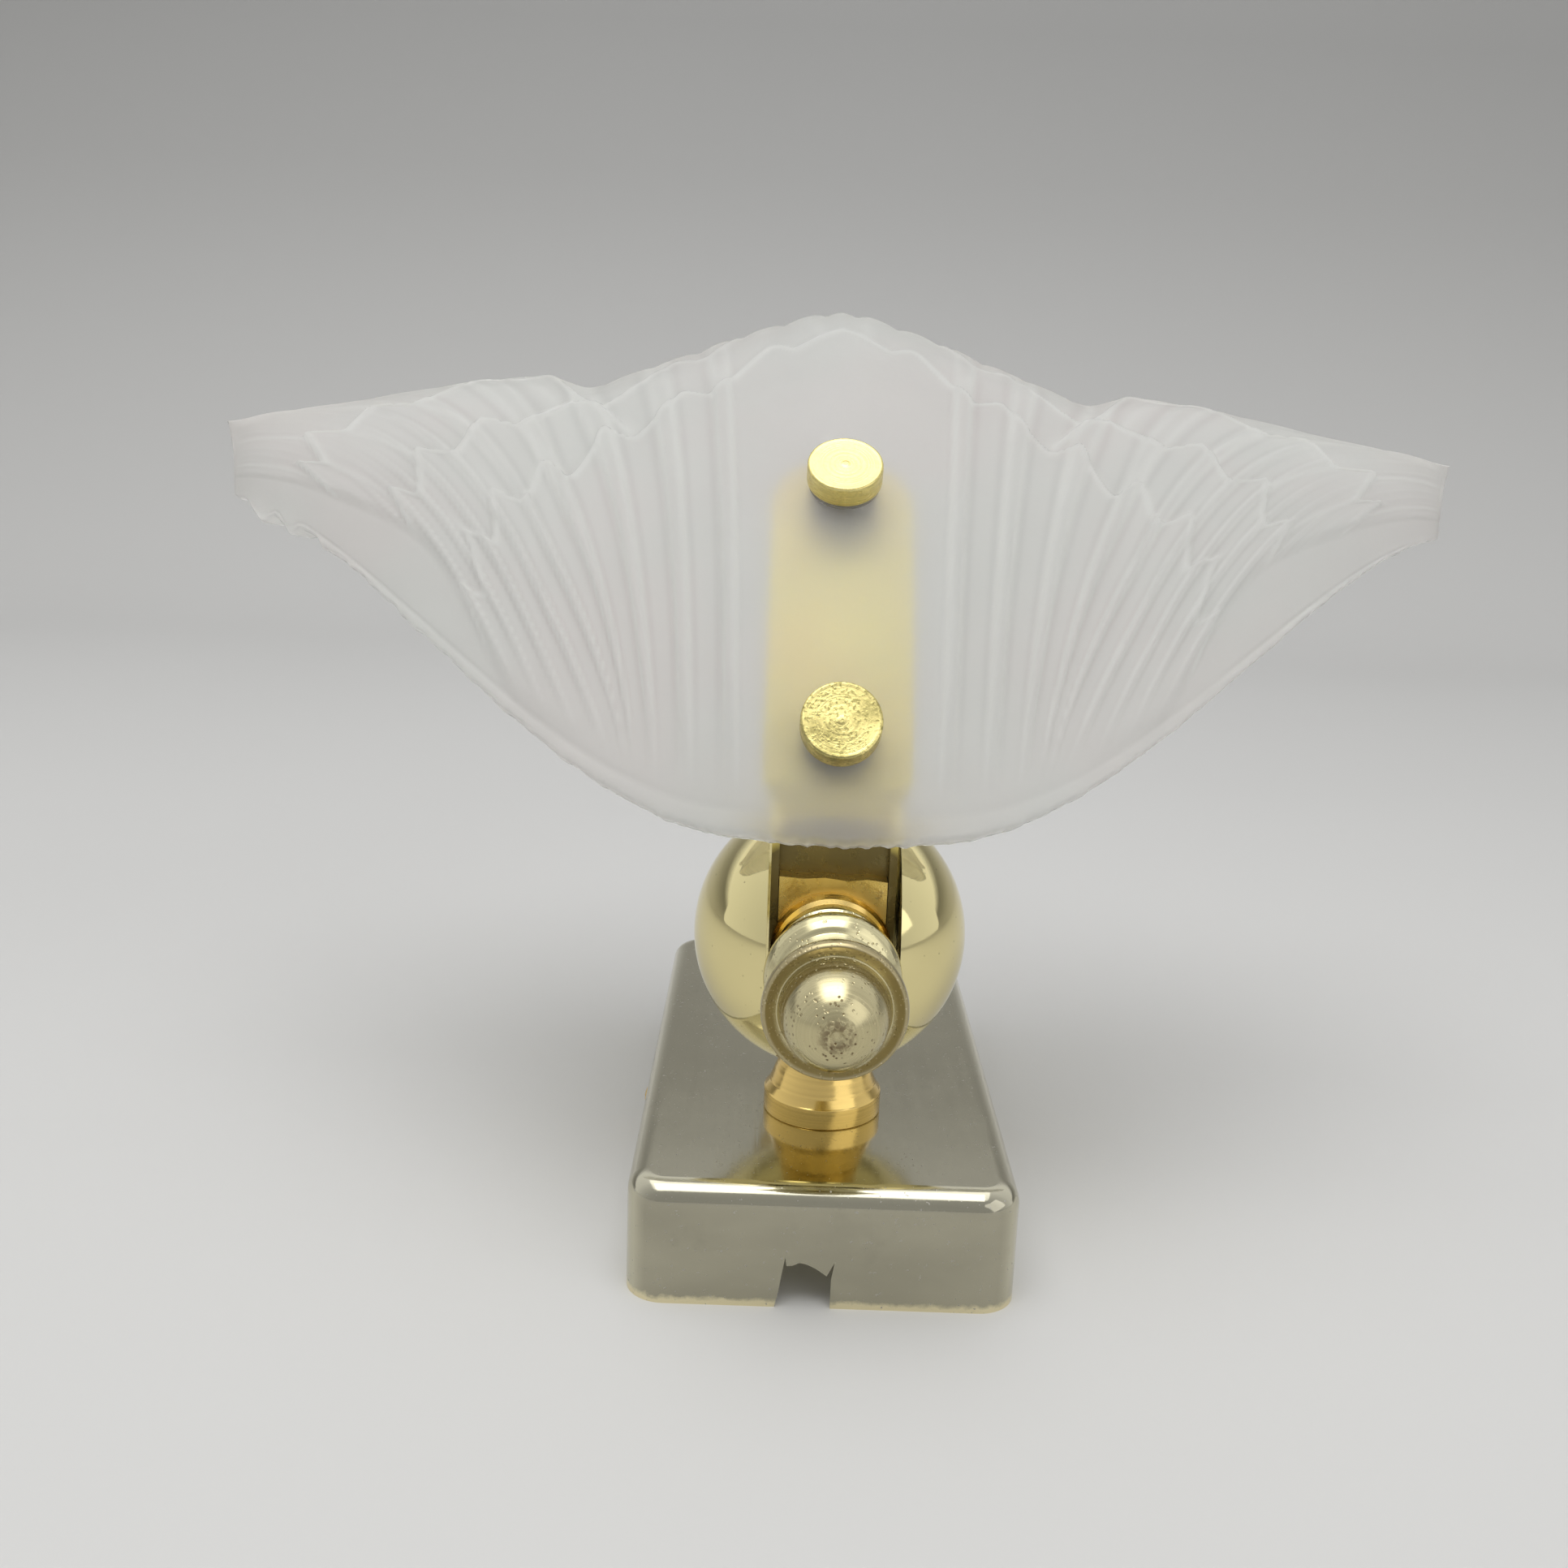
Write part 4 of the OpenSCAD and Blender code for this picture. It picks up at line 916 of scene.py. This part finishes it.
class WALLLIGHT_OT_make_collar(bpy.types.Operator):
    """Turned collar between pan and ball: straight band and hollow cone"""

    bl_idname = "walllight.make_collar"
    bl_label = "Make the collar"

    def execute(self, context):
        metals = context.scene.light_metal
        reach = (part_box("collar")[1].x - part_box("collar")[0].x) / 2 / MM
        ball_out = (PAN_FRONT - AXIS_Y) / MM
        seat = BALL_R / MM + 0.15
        cup = [(r, ball_out - math.sqrt(seat * seat - r * r)) for r in (7.25, 6.6, 5.8, 5.06)]
        profile = [
            (5.06, 0), (reach - 0.2, 0), (reach, 0.2), (reach, 3.7), (reach - 0.2, 3.9), (9.5, 5.2),
            (9.0, 6.5), (8.6, 7.6), (8.1, 8.8), (7.85, 9.6), (7.6, cup[0][1] - 0.25), *cup, (5.06, 0)]
        form = turned_form(profile, ON_COLLAR, 96, 0.05)
        material = turned_metal("gold_brass", metals.gold, ON_COLLAR, metals.ring_scale)[0]
        add_piece("turned_collar", form, material, "head", ["collar"])
        return {"FINISHED"}


class WALLLIGHT_OT_make_screws(bpy.types.Operator):
    """Two thumbscrews with turned disc heads and threaded shanks"""

    bl_idname = "walllight.make_screws"
    bl_label = "Make the thumbscrews"

    def execute(self, context):
        metals = context.scene.light_metal
        reach, pitch = 12.7, 0.8
        under = 0.87
        top = under + 4.2
        profile = [(0, -reach), (1.9, -reach), (2.3, -reach + 0.5)]
        for k in range(7):
            low = -reach + 0.6 + pitch * k
            profile += [(2.48, low + 0.25), (2.25, low + 0.65)]
        profile += [
            (2.45, -6.2), (2.45, under), (6.5, under), (6.75, under + 0.3), (6.8, under + 0.7),
            (6.8, top - 0.45), (6.7, top - 0.15), (6.4, top), (5.9, top - 0.05), (0.9, top - 0.12),
            (0.5, top - 0.04), (0, top - 0.02)]
        for end, tarnish in (("lower", 0.8), ("upper", 0.2)):
            body = end + "_thumbscrew"
            place = screw_frame(body + "_turn")
            form = turned_form(profile, place, 72, 0.06)
            material = screw_finish(
                "screw_brass_" + end, metals.screw, place, metals.ring_scale * 0.8, tarnish)
            add_piece("turned_" + body, form, material, body, ["thumbscrew_" + end])
        return {"FINISHED"}


class WALLLIGHT_OT_make_shell(bpy.types.Operator):
    """Rolled thread shell inside the lampholder"""

    bl_idname = "walllight.make_shell"
    bl_label = "Make the screw shell"

    def execute(self, context):
        metals = context.scene.light_metal
        low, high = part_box("screw_shell")
        outer = (high.x - low.x) / 2 / MM
        length = (high.z - low.z) / MM
        pitch = 2.82
        count = int(length / pitch) * 8
        roll, wall = 0.17, 0.2
        rolled = [
            (outer - roll + roll * math.cos(2 * math.pi * k / 8), length * k / count)
            for k in range(count + 1)]
        profile = rolled + [(r - wall, h) for r, h in reversed(rolled)]
        place = Matrix.Translation((0, AXIS_Y, low.z))
        form = turned_form([*profile, profile[0]], place, 64, 0.02)
        material = turned_metal("shell_brass", metals.raw, ON_BALL, metals.ring_scale, 0.2, 0.36)[0]
        add_piece("rolled_shell", form, material, "head", ["screw_shell"])
        return {"FINISHED"}


# Soft lights: name, place, aim, size, share of the key power, and whether it is seen through glass
LAMPS = (
    ("key_light", (-0.12, -1.08, -0.10), (0, -0.08, 0), 1.0, 0.49, False),
    ("glass_light", (-0.12, -1.13, -0.32), (0, -0.08, 0), 0.8, 0.55, True),
    ("front_light", (0.75, -0.55, -0.75), (0, -0.07, -0.02), 0.9, 0.28, True),
    ("back_light", (0.2, 0.9, 0.25), (0, 0, 0), 0.8, 0.2, True))
# Floor: its ends along the wall, half width, radius of the bend and the backdrop's end
FLOOR_NEAR = -4.0
FLOOR_FAR = 0.62
FLOOR_HALF = 4.0
FLOOR_BEND = 0.30
BACKDROP_END = -0.8
# Opening behind the pan: inset from the pan's edge, and from its lower end
OPENING_INSET = 0.004
OPENING_LOW = 0.022
# Camera: place, pitch below level, roll and yaw in degrees, and lens in millimetres
CAMERA_PLACE = (-0.0102, -0.1459, -0.2915)
CAMERA_TURN = (13.934, 2.121, 0.275)
CAMERA_LENS = 36.09


class WALLLIGHT_OT_set_stage(bpy.types.Operator):
    """Pale floor with a cove, soft light, surroundings and the camera"""

    bl_idname = "walllight.set_stage"
    bl_label = "Set the stage"

    def execute(self, context):
        settings = context.scene.light_stage
        self.make_floor(settings)
        for lamp in LAMPS:
            self.make_light(*lamp, settings.key)
        self.make_surroundings(context.scene, settings)
        self.make_camera(context.scene)
        context.scene.view_settings.view_transform = "Standard"
        return {"FINISHED"}

    def make_floor(self, settings):
        """Floor on the wall plane, turned up into a backdrop, with an opening behind the pan."""
        form = bmesh.new()
        path = [(0.0, FLOOR_NEAR), (0.0, FLOOR_FAR)]
        for a in np.linspace(0, math.pi / 2, 17)[1:]:
            path.append((-FLOOR_BEND * (1 - math.cos(a)), FLOOR_FAR + FLOOR_BEND * math.sin(a)))
        path.append((BACKDROP_END, FLOOR_FAR + FLOOR_BEND))
        verts = [form.verts.new((-FLOOR_HALF, y, z)) for y, z in path]
        edges = [form.edges.new(pair) for pair in zip(verts, verts[1:])]
        moved = bmesh.ops.extrude_edge_only(form, edges=edges)["geom"]
        far_side = [g for g in moved if isinstance(g, bmesh.types.BMVert)]
        bmesh.ops.translate(form, vec=(2 * FLOOR_HALF, 0, 0), verts=far_side)
        low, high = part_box("back_plate")
        left, right = low.x + OPENING_INSET, high.x - OPENING_INSET
        bottom, top = low.z + OPENING_LOW, high.z - OPENING_INSET
        for place, normal in (
                ((left, 0, 0), (1, 0, 0)), ((right, 0, 0), (1, 0, 0)),
                ((0, 0, bottom), (0, 0, 1)), ((0, 0, top), (0, 0, 1))):
            whole = form.verts[:] + form.edges[:] + form.faces[:]
            bmesh.ops.bisect_plane(form, geom=whole, plane_co=place, plane_no=normal)
        inside = []
        for face in form.faces:
            centre = face.calc_center_median()
            if left < centre.x < right and bottom < centre.z < top:
                inside.append(face)
        bmesh.ops.delete(form, geom=inside, context="FACES")
        form.normal_update()
        bmesh.ops.reverse_faces(form, faces=[f for f in form.faces if f.normal.y + f.normal.z > 0])
        for face in form.faces:
            face.smooth = True
        mesh = bpy.data.meshes.new("floor")
        form.to_mesh(mesh)
        form.free()
        mesh.materials.append(floor_finish(settings.floor))
        floor = bpy.data.objects.new("floor", mesh)
        bpy.context.scene.collection.objects.link(floor)

    def make_light(self, name, place, aim, size, share, through_glass, power):
        """Square soft light that points at a place."""
        lamp = bpy.data.lights.new(name, "AREA")
        lamp.size = size
        lamp.energy = power * share
        light = bpy.data.objects.new(name, lamp)
        light.location = place
        light.rotation_euler = (Vector(aim) - Vector(place)).to_track_quat("-Z", "Y").to_euler()
        light.visible_transmission = through_glass
        bpy.context.scene.collection.objects.link(light)

    def make_surroundings(self, scene, settings):
        """Even fill light, seen as a pale tone by the camera, metal and glass."""
        world = bpy.data.worlds.new("surroundings")
        world.use_nodes = True
        tree = world.node_tree
        seen = tree.nodes["Background"]
        way = axes(tree, tree.nodes.new("ShaderNodeTexCoord").outputs["Generated"])
        ahead = remap(tree, way["Z"], -0.9, 0.5, 0.0, 1.0)
        tones = tint(tree, ahead, shade_of(settings.sky, 0.60), settings.sky)
        tree.links.new(tones, seen.inputs["Color"])
        fill = tree.nodes.new("ShaderNodeBackground")
        fill.inputs["Color"].default_value = (1.0, 0.99, 0.98, 1.0)
        fill.inputs["Strength"].default_value = settings.fill
        rays = tree.nodes.new("ShaderNodeLightPath")
        direct = combine(tree, "MAXIMUM", rays.outputs["Is Camera Ray"], rays.outputs["Is Glossy Ray"])
        direct = combine(tree, "MAXIMUM", direct, rays.outputs["Is Transmission Ray"])
        mix = tree.nodes.new("ShaderNodeMixShader")
        tree.links.new(direct, mix.inputs[0])
        tree.links.new(fill.outputs["Background"], mix.inputs[1])
        tree.links.new(seen.outputs["Background"], mix.inputs[2])
        tree.links.new(mix.outputs["Shader"], tree.nodes["World Output"].inputs["Surface"])
        scene.world = world

    def make_camera(self, scene):
        """Camera just below the light, looking up the wall, at a square picture's framing."""
        pitch, roll, yaw = (math.radians(angle) for angle in CAMERA_TURN)
        level_ahead = Vector((math.sin(yaw), math.cos(yaw), 0))
        ahead = level_ahead * math.cos(pitch) - Vector((0, 0, math.sin(pitch)))
        level = Vector((math.cos(yaw), -math.sin(yaw), 0))
        under = ahead.cross(level)
        right = math.cos(roll) * level - math.sin(roll) * under
        down = math.sin(roll) * level + math.cos(roll) * under
        columns = [Vector((c.x, -c.z, c.y)) for c in (right, -down, -ahead)]
        turn = Matrix(columns).transposed().to_4x4()
        lens = bpy.data.cameras.new("camera")
        lens.sensor_width = 36.0
        lens.lens = CAMERA_LENS
        lens.clip_start = 0.01
        camera = bpy.data.objects.new("camera", lens)
        camera.matrix_world = Matrix.Translation(CAMERA_PLACE) @ turn
        scene.collection.objects.link(camera)
        scene.camera = camera


class WALLLIGHT_PT_panel(bpy.types.Panel):
    """Buttons and sizes of the wall light"""

    bl_label = "Wall light"
    bl_space_type = "VIEW_3D"
    bl_region_type = "UI"
    bl_category = "Wall light"

    def draw(self, context):
        scene = context.scene
        for operator in OPERATORS:
            self.layout.operator(operator.bl_idname)
        for settings in (scene.light_shade, scene.light_metal, scene.light_stage):
            for name in settings.bl_rna.properties.keys():
                if name not in {"rna_type", "name"}:
                    self.layout.prop(settings, name)


OPERATORS = (
    WALLLIGHT_OT_dress_metal, WALLLIGHT_OT_dress_fittings, WALLLIGHT_OT_make_glass,
    WALLLIGHT_OT_make_finial, WALLLIGHT_OT_make_collar, WALLLIGHT_OT_make_screws,
    WALLLIGHT_OT_make_shell, WALLLIGHT_OT_set_stage)
CLASSES = (ShadeSettings, MetalSettings, StageSettings, *OPERATORS, WALLLIGHT_PT_panel)


def register():
    for cls in CLASSES:
        bpy.utils.register_class(cls)
    bpy.types.Scene.light_shade = bpy.props.PointerProperty(type=ShadeSettings)
    bpy.types.Scene.light_metal = bpy.props.PointerProperty(type=MetalSettings)
    bpy.types.Scene.light_stage = bpy.props.PointerProperty(type=StageSettings)


def unregister():
    del bpy.types.Scene.light_stage
    del bpy.types.Scene.light_metal
    del bpy.types.Scene.light_shade
    for cls in reversed(CLASSES):
        bpy.utils.unregister_class(cls)


def main():
    register()
    bpy.ops.walllight.dress_metal()
    bpy.ops.walllight.dress_fittings()
    bpy.ops.walllight.make_glass()
    bpy.ops.walllight.make_finial()
    bpy.ops.walllight.make_collar()
    bpy.ops.walllight.make_screws()
    bpy.ops.walllight.make_shell()
    bpy.ops.walllight.set_stage()


if __name__ == "__main__":
    main()
